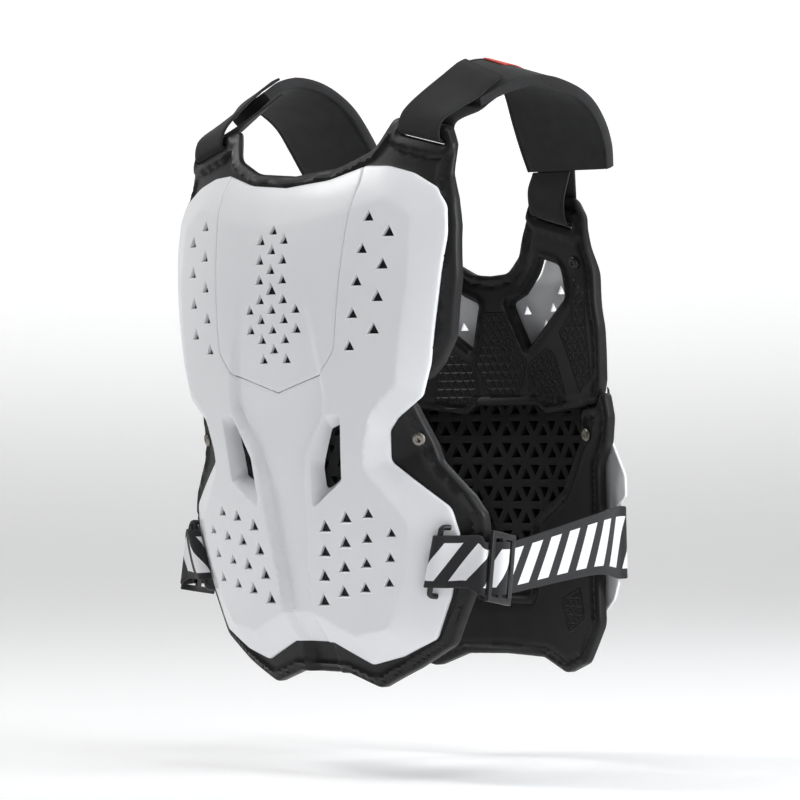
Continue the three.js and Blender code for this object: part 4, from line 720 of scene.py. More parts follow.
def pointCloud(name, places):
    # loose points, each with a place, a turning matrix and a size
    mesh = bpy.data.meshes.new(name)
    mesh.from_pydata([tuple(np.array(place) * mm) for place, _, _ in places], [], [])
    turned = mesh.attributes.new("turn", "FLOAT_VECTOR", "POINT")
    sized = mesh.attributes.new("size", "FLOAT_VECTOR", "POINT")
    for index, (_, basis, size) in enumerate(places):
        turned.data[index].vector = basis.to_euler()
        sized.data[index].vector = size if hasattr(size, "__len__") else (size, size, size)
    made = bpy.data.objects.new(name, mesh)
    scene.collection.objects.link(made)
    return made


def basisOf(across, up, out):
    return Matrix((across, up, out)).transposed()


def surfaceBasis(face, x, z, outward):
    # x across, y up and z out of a face at a point
    step = 2.0
    xs, zs = np.array([x - step, x + step, x, x]), np.array([z, z, z - step, z + step])
    y = face(xs, zs)
    across = Vector((2 * step, y[1] - y[0], 0)).normalized()
    up = Vector((0, y[3] - y[2], 2 * step)).normalized()
    out = across.cross(up).normalized()  # towards -Y
    up = out.cross(across).normalized()
    if outward > 0:
        return basisOf(-across, up, -out)
    return basisOf(across, up, out)


def depthAt(face, x, z):
    return float(face(np.array([float(x)]), np.array([float(z)]))[0])


def discard(*made):
    for one in made:
        bpy.data.objects.remove(one)


pierceTree = makePierceTree()
repeatTree = makeRepeatTree()


def pierced(made, face, holes, radius, depth, taper, chamfer, material, outward=-1):
    # holes: x, z, size and whether the triangle stands on its point
    places = []
    for x, z, size, down in holes:
        basis = surfaceBasis(face, x, z, outward)
        # the cutter's own axis runs from the mouth inwards, with one corner up
        across, up, out = basis.col[0], basis.col[1], basis.col[2]
        if down:
            up, across = -up, -across
        places.append(((x, depthAt(face, x, z), z), basisOf(up, across, -out), size))
    cloud = pointCloud(made.name + "Places", places)
    runTree(made, pierceTree, {"Places": cloud, "Hole radius": radius * mm, "Depth": depth * mm,
                               "Taper": taper,
                               "Chamfer": chamfer * mm, "Material": material})
    discard(cloud)
    finishMesh(made, material)


def settle(made, slot, *nodes, pad=None):
    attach(made, "root")
    if nodes:
        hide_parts(*nodes)


# front plate
frontHoles = {"radius": 6.4, "taper": 0.62, "chamfer": 0.7,
              "centre": {"top": 0.2535, "pitch": 8, "rows": 14, "out": 13.4, "wide": (8, 10), "big": 6},
              "chest": {"top": 0.237, "pitch": 25.6, "rows": 5, "out": 95.7, "lean": -3.5,
                        "stagger": 12.6, "step": 19},
              "lobe": {"top": 0.764, "pitch": 19.8, "rows": 4, "lean": -3.6,
                       "columns": [(42, 0, 1.12), (64, 7.4, 1.05), (85.5, 11, 0.95), (104.5, 15.6, 0.85)]}}


def frontHolePlaces():
    panelHoles, shellHoles = [], []
    centre, chest, lobe = (frontHoles[key] for key in ("centre", "chest", "lobe"))
    for row in range(centre["rows"]):
        z = -centre["top"] * front["reach"] - row * centre["pitch"]
        outs = [-centre["out"], centre["out"]] if row % 2 else [0]
        if row in centre["wide"]:
            outs += [-2 * centre["out"], 2 * centre["out"]]
        size = 1.1 if row == centre["big"] else 0.9
        panelHoles += [(x, z, size, False) for x in outs]
    for side in (-1, 1):
        for row in range(chest["rows"]):
            z = -chest["top"] * front["reach"] - row * chest["pitch"]
            x = chest["out"] + row * chest["lean"]
            shellHoles.append((side * x, z, 0.95, False))
            if row + 1 < chest["rows"]:
                shellHoles.append((side * (x + chest["step"]), z - chest["stagger"], 1.0, False))
        for row in range(lobe["rows"]):
            for index, (out, rise, size) in enumerate(lobe["columns"]):
                last = index == len(lobe["columns"]) - 1
                if last and row + 1 == lobe["rows"]:
                    continue
                lift = lobe["pitch"] if last else 0
                z = rise - lift - lobe["top"] * front["reach"] - row * lobe["pitch"]
                shellHoles.append((side * (out + row * lobe["lean"]), z, size, False))
    return panelHoles, shellHoles


def grown(line, offset):
    ring = line if signedArea(line) > 0 else line[::-1]
    return offsetRing(resampled(ring, 2.0), offset, 1)


def buildFrontShell():
    panelHoles, shellHoles = frontHolePlaces()
    panelHalf = roundedLine(outlines["panel"], front["halfWidth"], front["reach"])
    seam = 0.6
    far = lambda x, z: frontFace(x, z) + front["shellWall"]
    # the shell keeps the outline below and beside the panel
    shellHalf = resampled(roundedLine(outlines["shell"], front["halfWidth"], front["reach"]), 0.5,
                          closed=False)
    panelFine = resampled(panelHalf, 0.5, closed=False)
    inPanel = isInside(np.vstack([panelFine, panelFine[::-1] * (-1, 1)]), shellHalf)
    topEdge = shellHalf[inPanel]
    sideEdge = shellHalf[~inPanel]
    corner = topEdge[-1]
    below = panelFine[(panelFine[:, 1] < corner[1] + 0.3) & (panelFine[:, 0] > 1e-3)]
    panelLine = np.vstack([topEdge, below, panelFine[-1:]])
    panelLoop = np.vstack([panelLine, (panelLine[panelLine[:, 0] > 1e-3] * (-1, 1))[::-1]])
    panel = plate("front_panel", shellWhite, panelLoop, frontFace, far, spacing=3.5, edgeRound=1.0)
    pierced(panel, frontFace, panelHoles, frontHoles["radius"], 14, frontHoles["taper"],
            frontHoles["chamfer"], shellWhite)
    start = sideEdge[0] + (seam, 0)
    inner = np.vstack([below, panelFine[-1:]])
    beside = inner[:, :1] > 1e-3
    pushed = inner + seam * np.array((0.75, -0.7)) * beside + ~beside * np.array((0, -seam))
    rightPart = np.vstack([pushed[::-1], start[None], sideEdge[1:]])
    leftPart = (rightPart[(rightPart[:, 0] > 1e-3)] * (-1, 1))[::-1]
    loop = np.vstack([rightPart, leftPart])
    rims = [sideLoop("windowRim", front, side) for side in (-1, 1)]
    creases = [resampled(creaseLine, 2.5)]
    shell = plate("front_shell_skin", shellWhite, loop, frontFace, far, openings=rims, spacing=3.5,
                  edgeRound=1.1,
                  extra=creases)
    pierced(shell, frontFace, shellHoles, frontHoles["radius"], 14, frontHoles["taper"],
            frontHoles["chamfer"], shellWhite)
    settle(panel, "white_shell", "front_centre_panel")
    settle(shell, "white_shell", "front_shell")
    # sloped walls of the two windows
    for side, word in ((-1, "left"), (1, "right")):
        rim = resampled(sideLoop("windowRim", front, side), 1.5)
        floor = resampled(sideLoop("windowFloor", front, side), 1.5)
        count = len(rim)
        fine = np.linspace(0, 1, count, endpoint=False)
        floorLoop = np.vstack([floor, floor[:1]])
        reach = np.concatenate([[0], np.cumsum(np.linalg.norm(np.diff(floorLoop, axis=0), axis=1))])
        floor = np.column_stack([np.interp(fine * reach[-1], reach, floorLoop[:, k]) for k in (0, 1)])
        rings = []
        for share, down in ((0.0, 0.6), (0.06, 1.6), (0.9, 11.0), (1.0, 12.5)):
            line = rim + (floor - rim) * share
            rings.append((line, down))
        for share, down in ((0.94, 13.0), (0.0, 4.4), (-0.02, 2.5)):
            line = rim + (floor - rim) * share + (rim - rim.mean(0)) * 0.05
            rings.append((line, down))
        points, faces = [], []
        for line, down in rings:
            depth = frontFace(rim[:, 0], rim[:, 1]) + down
            points.append(np.column_stack([line[:, 0], depth, line[:, 1]]))
        for ring in range(len(rings)):
            after = (ring + 1) % len(rings)
            for k in range(count):
                n = (k + 1) % count
                quad = (ring * count + k, after * count + k, after * count + n, ring * count + n)
                faces.append(quad if signedArea(rim) > 0 else quad[::-1])
        wall = newObject("window_wall_" + word, np.vstack(points) * mm, faces, shellWhite)
        settle(wall, "white_shell")


def linerRelief(name, plate):
    # foam rim: a flat band, a raised bead and a fine groove near the outer edge
    line = resampled(wholeOutline(name, plate), 3.0)

    def relief(x, z):
        away = distanceTo(line, np.column_stack([x, z]))
        bead = 2.6 * np.exp(-((away - 6.6) / 2.0) ** 2)
        groove = -1.4 * np.exp(-((away - 3.2) / 0.9) ** 2)
        return bead + groove
    return relief


def ringAndSlot(ear, side):
    # slanted slot outline and the line along its middle, from which its raised ring is measured
    tilt = -ear["tilt"]
    turnTo = np.array([[math.cos(tilt), math.sin(tilt)], [-math.sin(tilt), math.cos(tilt)]])
    run, half = slot["length"] / 2 - slot["height"] / 2, slot["height"] / 2
    angles = np.concatenate([np.linspace(-90, 90, 9), np.linspace(90, 270, 9)]) * math.pi / 180
    centres = np.concatenate([np.full(9, run), np.full(9, -run)])
    line = np.column_stack([centres + np.cos(angles) * half, np.sin(angles) * half])
    place = lambda points: (points @ turnTo + (ear["x"], ear["z"])) * (side, 1)
    spine = place(np.array([[-run, 0], [run, 0]]))
    line = line * (1, slot["filled"]) + (0, slot["lift"])
    return place(line), spine


frontEar = {"x": 0.783 * front["halfWidth"], "z": -0.103 * front["reach"], "tilt": 0.25}
backEar = {"x": 0.672 * back["halfWidth"], "z": -0.217 * back["reach"], "tilt": 0.27}
slot = {"length": 45, "height": 7.2, "ringWidth": 9, "ringHeight": 2.5, "filled": 0.58, "lift": 0.95}


def ringRelief(spines):
    def relief(x, z):
        points = np.column_stack([x, z])
        away = np.min([distanceTo(spine, points, closed=False) for spine in spines], axis=0)
        outer = slot["height"] / 2 + slot["ringWidth"]
        crown = 0.9 * np.exp(-((away - slot["height"] / 2 - 4.5) / 2.2) ** 2)
        return (slot["ringHeight"] + crown) * (1 - smoothStep(away, outer - 1.4, outer + 0.2))
    return relief


frontNet = {"pitch": 15, "rowPitch": 12.5, "top": -268, "rows": 7, "halfWidth": 74, "radius": 4.6}


def frontNetHoles():
    holes = []
    for row in range(frontNet["rows"]):
        for column in range(-5, 6):
            x = (column + 0.5 * (row % 2)) * frontNet["pitch"]
            if abs(x) < frontNet["halfWidth"]:
                z = frontNet["top"] - row * frontNet["rowPitch"]
                holes.append((x, z, 1.0, bool((row + column) % 2)))
    return holes


def buildFrontLiners():
    slots, spines = zip(*[ringAndSlot(frontEar, side) for side in (-1, 1)])
    rimRelief = linerRelief("upperLiner", front)
    ring = ringRelief(spines)

    def near(x, z):
        covered = isInside(shellLine, np.column_stack([x, z]))
        rise = np.maximum(np.where(covered, 0, rimRelief(x, z)), ring(x, z))
        bump = np.where(covered, 0, rise)
        return linerNear(x, z) - np.where(ring(x, z) > 0.02, ring(x, z), bump)
    upper = plate("front_liner_upper", foamBlack, wholeOutline("upperLiner", front), near, linerFar,
                  openings=list(slots), spacing=3.2, edgeRound=2.2, edgeSpacing=1.8)
    settle(upper, "foam", "front_upper_liner", pad=0.8)
    lowerRelief = linerRelief("lowerLiner", front)

    def lowerNear(x, z):
        covered = isInside(shellLine, np.column_stack([x, z]))
        return linerNear(x, z) - np.where(covered, 0, lowerRelief(x, z))
    openings = [sideLoop("linerOpening", front, side) for side in (-1, 1)]
    lower = plate("front_liner_lower", foamBlack, wholeOutline("lowerLiner", front), lowerNear, linerFar,
                  openings=openings, spacing=3.2, edgeRound=2.2, edgeSpacing=1.8)
    settle(lower, "foam", "front_lower_liner", pad=0.8)
    netNearFront = lambda x, z: linerFar(x, z) + 0.8
    netPad = plate("front_net_cushion", netBlack, wholeOutline("netPad", front), netNearFront,
                   lambda x, z: netNearFront(x, z) + front["netWall"], spacing=5, edgeRound=2)
    pierced(netPad, netNearFront, frontNetHoles(), frontNet["radius"], 6, 0.8, 0.3, netBlack)
    settle(netPad, "net", "front_net_pad", pad=0.7)


# back plate
# raised fields on the inner side of the back pads, in millimetres on one side: x, z
embossFields = {
    "upper": [[(101, -150), (118, -166), (117, -236), (97, -249), (89, -228), (76, -196), (97, -178)],
              [(30, -222), (60, -206), (69, -213), (79, -250), (71, -258), (47, -260), (28, -250)],
              [(-13, -176), (13, -176), (25, -208), (33, -219), (18, -250), (-18, -250), (-33, -219),
               (-25, -208)]],
    "lower": [[(66, -420), (96, -408), (104, -436), (80, -450)],
              [(102, -296), (118, -272), (112, -262), (98, -286)]],
}


def markEmboss(made, which):
    # how far each point lies inside a raised field, from 0 at its edge to 1
    mesh = made.data
    spots = np.empty(len(mesh.vertices) * 3, np.float32)
    mesh.vertices.foreach_get("co", spots)
    points = spots.reshape(-1, 3)[:, (0, 2)] / mm
    share = np.zeros(len(points))
    for corners in embossFields[which]:
        for side in (1, -1):
            line = np.array(corners, float) * (side, 1)
            inside = np.where(isInside(line, points), distanceTo(line, points), 0)
            share = np.maximum(share, np.clip(inside / 5.0, 0, 1))
    made.data.attributes.new("emboss", "FLOAT", "POINT").data.foreach_set("value", share.astype(np.float32))


def buildBackPads():
    slots, spines = zip(*[ringAndSlot(backEar, side) for side in (-1, 1)])
    ring = ringRelief(spines)
    upperLine = resampled(wholeOutline("upperPad", back), 3.0)
    windows = [sideLoop("padWindow", back, side) for side in (-1, 1)]

    def upperNear(x, z):
        points = np.column_stack([x, z])
        away = distanceTo(upperLine, points)
        toWindow = np.min([distanceTo(line, points) for line in windows], axis=0)
        sink = 1.6 * np.exp(-((away - 8) / 1.5) ** 2) - 1.6 * np.exp(-((away - 3.5) / 2.0) ** 2)
        sink = sink - 1.6 * np.exp(-((toWindow - 4) / 2.0) ** 2)
        lip = 4.0 * smoothStep(-z, 252, 255) - 1.5 * np.exp(-((z + 250) / 1.6) ** 2)
        raised = np.where(ring(x, z) > 0.02, -ring(x, z), sink)
        return backFace(x, z) + raised + np.where(np.abs(x) < 33, 0, lip * 0.5)
    upper = plate("back_pad_upper", foamInner, wholeOutline("upperPad", back), upperNear, padFar,
                  openings=list(slots) + windows, spacing=3.0, edgeRound=2.0, edgeSpacing=1.8)
    markEmboss(upper, "upper")
    settle(upper, "foam", "back_upper_pad", pad=0.8)
    loop = wholeOutline("lowerPad", back)
    lowerLine = resampled(loop, 3.0)

    def lowerNear(x, z):
        away = distanceTo(lowerLine, np.column_stack([x, z]))
        groove = 1.8 * np.exp(-((away - 8.5) / 1.5) ** 2) - 1.5 * np.exp(-((away - 4) / 2.0) ** 2)
        return backFace(x, z) + groove
    lower = plate("back_pad_lower", foamInner, loop, lowerNear, padFar, spacing=3.2, edgeRound=2.5,
                  edgeSpacing=1.8)
    markEmboss(lower, "lower")
    settle(lower, "foam", "back_lower_pad", pad=0.8)


backNet = {"pitch": 22, "rowPitch": 18.8, "top": -257, "radius": 6.4, "offset": 3.1}


def buildBackNet():
    outline = wholeOutline("backNet", back)
    far = lambda x, z: netNear(x, z) + back["netWall"]
    netPlate = plate("back_net_lattice", netBlack, outline, netNear, far, spacing=5, edgeRound=1.5)
    holes = []
    line = resampled(outline, 3.0)
    for row in range(10):
        z = backNet["top"] - row * backNet["rowPitch"]
        shift = 0.5 * (row % 2)
        for step in range(-6, 7):
            up = ((step + shift) * backNet["pitch"], z - backNet["offset"])
            down = ((step + shift + 0.5) * backNet["pitch"], z + backNet["offset"])
            holes += [(*up, 1.0, False), (*down, 1.0, True)]
    spots = np.array([hole[:2] for hole in holes])
    inside = isInside(line, spots) & (distanceTo(line, spots) > 8)
    holes = [hole for hole, kept in zip(holes, inside) if kept]
    pierced(netPlate, netNear, holes, backNet["radius"], 11, 0.75, 0.25, netBlack, outward=-1)
    settle(netPlate, "net", "back_net_pad", pad=0.7)


backHoles = {"spots": [(0.51, 0.333), (0.43, 0.362), (0.35, 0.39), (0.195, 0.365)],
             "radius": 6.4, "taper": 0.62, "chamfer": 0.7}


def buildBackShell():
    far = lambda x, z: backShellNear(x, z) + back["shellWall"]
    netGap = grown(wholeOutline("backNet", back), 0.5)
    shell = plate("back_shell_skin", shellWhite, wholeOutline("backShell", back), backShellNear, far,
                  openings=[netGap], spacing=4, edgeRound=1.2)
    holes = [(side * out * back["halfWidth"], -drop * back["reach"], 0.9, False)
             for out, drop in backHoles["spots"] for side in (-1, 1)]
    pierced(shell, far, holes, backHoles["radius"], 14, backHoles["taper"], backHoles["chamfer"],
            shellWhite, outward=1)
    settle(shell, "white_shell", "back_shell")


# rivets
def lathed(name, profile, segments, material):
    points, faces = [], []
    for radius, height in profile:
        for k in range(segments):
            angle = 2 * math.pi * k / segments
            points.append((radius * math.cos(angle), radius * math.sin(angle), height))
    count = len(profile)
    for ring in range(count - 1):
        for k in range(segments):
            n = (k + 1) % segments
            faces.append((ring * segments + k, ring * segments + n, (ring + 1) * segments + n,
                          (ring + 1) * segments + k))
    faces.append(tuple(range(segments))[::-1])
    faces.append(tuple(range((count - 1) * segments, count * segments)))
    return newObject(name, np.array(points) * mm, faces, material)


rivetProfile = [(5.2, 0.1), (5.5, 0.4), (5.5, 0.8), (5.1, 1.5), (4.4, 2.0), (3.4, 2.3), (2.6, 2.35),
                (2.2, 2.1), (2.0, 1.6), (1.2, 1.3), (0.5, 1.25)]
rivetSpots = {"front_rivets": ("metal", rivetMetal, linerNear, 0.785 * front["halfWidth"],
                               -0.6125 * front["reach"], "front_rivet"),
              "back_waist_rivets": ("metal", rivetMetal, backFace, 0.75 * back["halfWidth"],
                                    -0.585 * back["reach"], "back_waist_rivet"),
              "back_ear_rivets": ("black_plastic", plasticBlack, backFace, 0.762 * back["halfWidth"],
                                  -0.288 * back["reach"], "back_ear_rivet")}


def buildRivets():
    for name, (slotName, material, face, x, z, node) in rivetSpots.items():
        one = lathed("oneRivet", rivetProfile, 20, material)
        places = []
        for side in (-1, 1):
            basis = surfaceBasis(face, side * x, z, -1)
            spot = Vector((side * x, depthAt(face, side * x, z), z)) + basis.col[2] * 0.2
            places.append((spot, basis, 1.0))
        cloud = pointCloud(name, places)
        runTree(cloud, repeatTree, {"Piece": one, "Scale": 1.0, "Material": material})
        finishMesh(cloud, material)
        discard(one)
        settle(cloud, slotName, node + "_left", node + "_right")


# bands that follow stations
def splineThrough(stations, spacing):
    # centripetal curve through matching inner and outer points, evenly stepped
    inner = [np.array(s[0], float) for s in stations]
    outer = [np.array(s[1], float) for s in stations]
    middle = [(a + b) / 2 for a, b in zip(inner, outer)]
    knots = [0.0]
    for a, b in zip(middle[:-1], middle[1:]):
        knots.append(knots[-1] + max(np.linalg.norm(b - a), 1e-3) ** 0.5)
    knots = np.array(knots)

    def through(points):
        points = np.array(points)
        slopes = np.zeros_like(points)
        spans = np.diff(knots)[:, None]
        rates = np.diff(points, axis=0) / spans
        slopes[1:-1] = (rates[:-1] * spans[1:] + rates[1:] * spans[:-1]) / (spans[1:] + spans[:-1])
        slopes[0], slopes[-1] = rates[0], rates[-1]
        return points, slopes

    def sample(data, t):
        points, slopes = data
        row = np.clip(np.searchsorted(knots, t, side="right") - 1, 0, len(knots) - 2)
        span = (knots[row + 1] - knots[row])[:, None]
        u = ((t - knots[row]) / span[:, 0])[:, None]
        return ((2 * u ** 3 - 3 * u ** 2 + 1) * points[row] + (u ** 3 - 2 * u ** 2 + u) * span * slopes[row]
                + (3 * u ** 2 - 2 * u ** 3) * points[row + 1] + (u ** 3 - u ** 2) * span * slopes[row + 1])
    innerData, outerData = through(inner), through(outer)
    dense = np.linspace(0, knots[-1], 1200)
    line = (sample(innerData, dense) + sample(outerData, dense)) / 2
    reach = np.concatenate([[0], np.cumsum(np.linalg.norm(np.diff(line, axis=0), axis=1))])
    count = max(int(reach[-1] / spacing), 4)
    places = np.linspace(0, reach[-1], count + 1)
    t = np.interp(places, reach, dense)
    a, b = sample(innerData, t), sample(outerData, t)
    ahead = np.gradient((a + b) / 2, axis=0)
    side = b - a
    normal = np.cross(side, ahead)
    normal /= np.linalg.norm(normal, axis=1)[:, None]
    return {"inner": a, "outer": b, "normal": normal, "reach": places}


def bandProfile(thickness, width, bead=0.0):
    # closed section of a flat band: across share -0.5 to 0.5 and lift
    half, edge = thickness / 2, min(thickness / 2, 0.9) / width
    steps = 14
    shares = np.linspace(-0.5 + edge, 0.5 - edge, steps)
    top = [(s, half + bead * math.exp(-((abs(s) - 0.46) / 0.03) ** 2)) for s in shares]
    ends = [(0.5 - edge * 0.25, half * 0.7), (0.5, 0.0), (0.5 - edge * 0.25, -half * 0.7)]
    bottom = [(s, -half) for s in shares[::-1]]
    return top + ends + bottom + [(-s, -lift) for s, lift in ends]


def band(name, material, path, profile, mirror=1):
    # sweeps a closed section along a path, with a cloth map in metres
    rows, sections = len(path["reach"]), len(profile)
    points = np.empty((rows, sections, 3))
    widths = np.linalg.norm(path["outer"] - path["inner"], axis=1)
    for k, (share, lift) in enumerate(profile):
        middle = path["inner"] + (path["outer"] - path["inner"]) * (share + 0.5)
        points[:, k] = middle + path["normal"] * lift
    points[:, :, 0] *= mirror
    faces, corners = [], []
    for row in range(rows - 1):
        for k in range(sections):
            n = (k + 1) % sections
            quad = (row * sections + k, row * sections + n, (row + 1) * sections + n,
                    (row + 1) * sections + k)
            cell = ((row, k), (row, k + 1), (row + 1, k + 1), (row + 1, k))
            faces.append(quad if mirror > 0 else quad[::-1])
            corners.append(cell if mirror > 0 else cell[::-1])
    first, last = tuple(range(sections)), tuple(range((rows - 1) * sections, rows * sections))
    for cap, row in ((first[::-1], 0), (last, rows - 1)):
        faces.append(cap if mirror > 0 else cap[::-1])
        corners.append(None)
    made = newObject(name, points.reshape(-1, 3) * mm, faces, material, 50)
    sideLengths = [math.hypot((profile[(k + 1) % sections][0] - profile[k][0]) * widths.mean(),
                              profile[(k + 1) % sections][1] - profile[k][1]) for k in range(sections)]
    along1 = np.concatenate([[0], np.cumsum(sideLengths)])
    mesh = made.data
    uv = mesh.uv_layers.new(name="cloth")
    share = mesh.attributes.new("strapShare", "FLOAT", "POINT")
    share.data.foreach_set("value", np.tile([p[0] for p in profile], rows).astype(np.float32))
    for polygon, cell in zip(mesh.polygons, corners):
        for position, loop in enumerate(polygon.loop_indices):
            if cell is None:
                uv.data[loop].uv = (0, 0)
            else:
                row, k = cell[position]
                uv.data[loop].uv = (path["reach"][row] * mm, along1[k] * mm)
    outward(made)
    return made


def outward(made):
    work = bmesh.new()
    work.from_mesh(made.data)
    bmesh.ops.recalc_face_normals(work, faces=work.faces)
    work.to_mesh(made.data)
    work.free()


shoulderPad = {"halfWidth": 1.165 * front["halfWidth"], "depth": 0.4286 * front["depth"],
               "height": 0.135 * front["reach"], "thickness": 9}
# shares from the front end to the back end: along, inner edge, its rise, outer edge, its rise
padRows = [(-0.924, 0.582, 0.111, 0.793, -0.238), (-0.636, 0.582, 0.286, 0.859, -0.048),
           (-0.227, 0.582, 0.365, 0.929, 0.079),
           (0.152, 0.549, 0.27, 0.973, 0), (0.455, 0.5, 0.016, 0.995, -0.159),
           (0.697, 0.467, -0.349, 1, -0.429),
           (0.879, 0.455, -0.683, 0.985, -0.73), (1, 0.462, -0.968, 0.955, -1)]
padThickness = shoulderPad["thickness"]


def padPoint(run, out, rise):
    return out * shoulderPad["halfWidth"], run * shoulderPad["depth"], rise * shoulderPad["height"]


padPath = splineThrough([(padPoint(run, inner, innerRise), padPoint(run, outer, outerRise))
                         for run, inner, innerRise, outer, outerRise in padRows], 2.5)


def padStrip(t, fromShare, toShare, lift):
    place = t * padPath["reach"][-1]
    pick = lambda values: np.array([np.interp(place, padPath["reach"], values[:, k]) for k in range(3)])
    inner, outer, normal = pick(padPath["inner"]), pick(padPath["outer"]), pick(padPath["normal"])
    across = outer - inner
    return inner + across * fromShare + normal * lift, inner + across * toShare + normal * lift


def buildShoulderPads():
    # foam pad with a rolled binding along its edges
    steps = 22
    shares = np.linspace(-0.44, 0.44, steps)
    binding = [(0.455, -1.2), (0.47, -0.2), (0.485, -0.1), (0.497, -1.6), (0.5, -4.0), (0.497, -6.8),
               (0.485, -8.7), (0.47, -8.9), (0.455, -8.0)]
    profile = [(s, -0.6 + 0.6 * (1 - (s / 0.44) ** 2)) for s in shares] + binding
    profile += [(s, -8.6) for s in shares[::-1]]
    profile += [(-s, lift) for s, lift in binding[::-1]]
    for mirror, word in ((1, "right"), (-1, "left")):
        pad = band("shoulder_foam_" + word, padBlack, padPath, profile, mirror)
        settle(pad, "pad_cloth", "shoulder_pad_" + word, pad=0.75)
        tagPath = splineThrough([padStrip(t, 0.05, 0.42, 0.7) for t in (0.27, 0.33, 0.39, 0.45, 0.51)], 2.0)
        tag = band("shoulder_label_" + word, tagRed, tagPath, bandProfile(1.0, 30), mirror)
        settle(tag, "tag", "shoulder_tag_" + word)


webbing = {"width": 39.5, "thickness": 2.2, "clear": 1.8, "bend": 2.2, "frontRise": 15, "backRise": 18}


def earStation(ear, face, off, rise):
    half = webbing["width"] / 2
    fall = math.tan(ear["tilt"]) * half
    spots = ((ear["x"] - half, ear["z"] + fall + rise), (ear["x"] + half, ear["z"] - fall + rise))
    return tuple(np.array((x, depthAt(face, x, z) + off, z)) for x, z in spots)


def earTurn(ear, face, firstOff, lastOff, rise):
    turnRise = slot["height"] / 2 - webbing["clear"] - 0.5
    inward = math.copysign(webbing["bend"], lastOff - firstOff)
    return [earStation(ear, face, firstOff, turnRise + rise),
            earStation(ear, face, firstOff, turnRise + webbing["bend"]),
            earStation(ear, face, firstOff + inward, turnRise),
            earStation(ear, face, lastOff - inward, turnRise),
            earStation(ear, face, lastOff, turnRise + webbing["bend"]),
            earStation(ear, face, lastOff, turnRise + rise)]


def buildWebbing():
    over = webbing["clear"] + 0.4
    under = -padThickness - over
    nearOff = -slot["ringHeight"] - webbing["clear"] - 1.6
    frontStations = ([padStrip(t, 0.02, high, over)
                      for t, high in ((0.15, 0.84), (0.1, 0.9), (0.05, 0.94), (0, 1))]
                     + earTurn(frontEar, linerNear, nearOff, front["earWall"] + webbing["clear"] + 1.8,
                               webbing["frontRise"])
                     + [padStrip(t, 0.02, high, under) for t, high in ((0, 1), (0.05, 0.94), (0.1, 0.9))])
    middle = padStrip(1, 0.03, 0.49, -padThickness / 2)
    before = padStrip(0.97, 0.03, 0.49, -padThickness / 2)
    ahead = (middle[0] - before[0]) + (middle[1] - before[1])
    ahead *= webbing["thickness"] / np.linalg.norm(ahead)
    backStations = ([(middle[0] + ahead, middle[1] + ahead)]
                    + earTurn(backEar, backFace, nearOff, back["earWall"] + webbing["clear"] + 2,
                              webbing["backRise"])
                    + [padStrip(t, low, high, over)
                       for t, low, high in ((1, 0.03, 0.49), (0.95, 0.05, 0.5), (0.9, 0.08, 0.5))])
    for mirror, word in ((1, "right"), (-1, "left")):
        for where, stations in (("front", frontStations), ("back", backStations)):
            path = splineThrough(stations, 1.5)
            made = band(f"{where}_webbing_band_{word}", webbingBlack, path,
                        bandProfile(webbing["thickness"], webbing["width"], 0.25), mirror)
            settle(made, "webbing", f"{where}_webbing_{word}")


# side straps, hooks, sliders and clips
strap = {"width": 41.5, "backWidth": 60, "thickness": 2.4, "loop": 32, "standOff": 7, "rod": 4.6,
         "bellyOut": 18, "bellyLength": 45}
hookEnds = ((0.892 * front["halfWidth"], -0.772 * front["reach"]),
            (0.81 * front["halfWidth"], -0.86 * front["reach"]))
sliderAt = {"x": 1.112 * front["halfWidth"], "y": -0.448 * front["depth"], "z": -0.83 * front["reach"],
            "lean": 0.15, "length": 56, "width": 33, "bar": 5, "endBar": 5, "thick": 3.2}
wingTurn = {"x": 1.0665 * front["halfWidth"], "y": -0.5844 * front["depth"], "lean": 0.12}
clipAt = {"x": 0.89 * back["halfWidth"], "z": -0.77 * back["reach"], "overhang": 7, "width": 11,
          "thick": 3.6}
shellFar = lambda x, z: backShellNear(x, z) + back["shellWall"]


def offFace(face, x, z, off, outward):
    basis = surfaceBasis(face, x, z, outward)
    return np.array((x, depthAt(face, x, z), z)) + np.array(basis.col[2]) * off


def widthAt(line, z):
    widest = 0
    for a, b in zip(line[:-1], line[1:]):
        if (a[1] - z) * (b[1] - z) <= 0 and a[1] != b[1]:
            widest = max(widest, a[0] + (b[0] - a[0]) * (z - a[1]) / (b[1] - a[1]))
    return widest


backShellHalf = roundedLine(outlines["backShell"], back["halfWidth"], back["reach"])


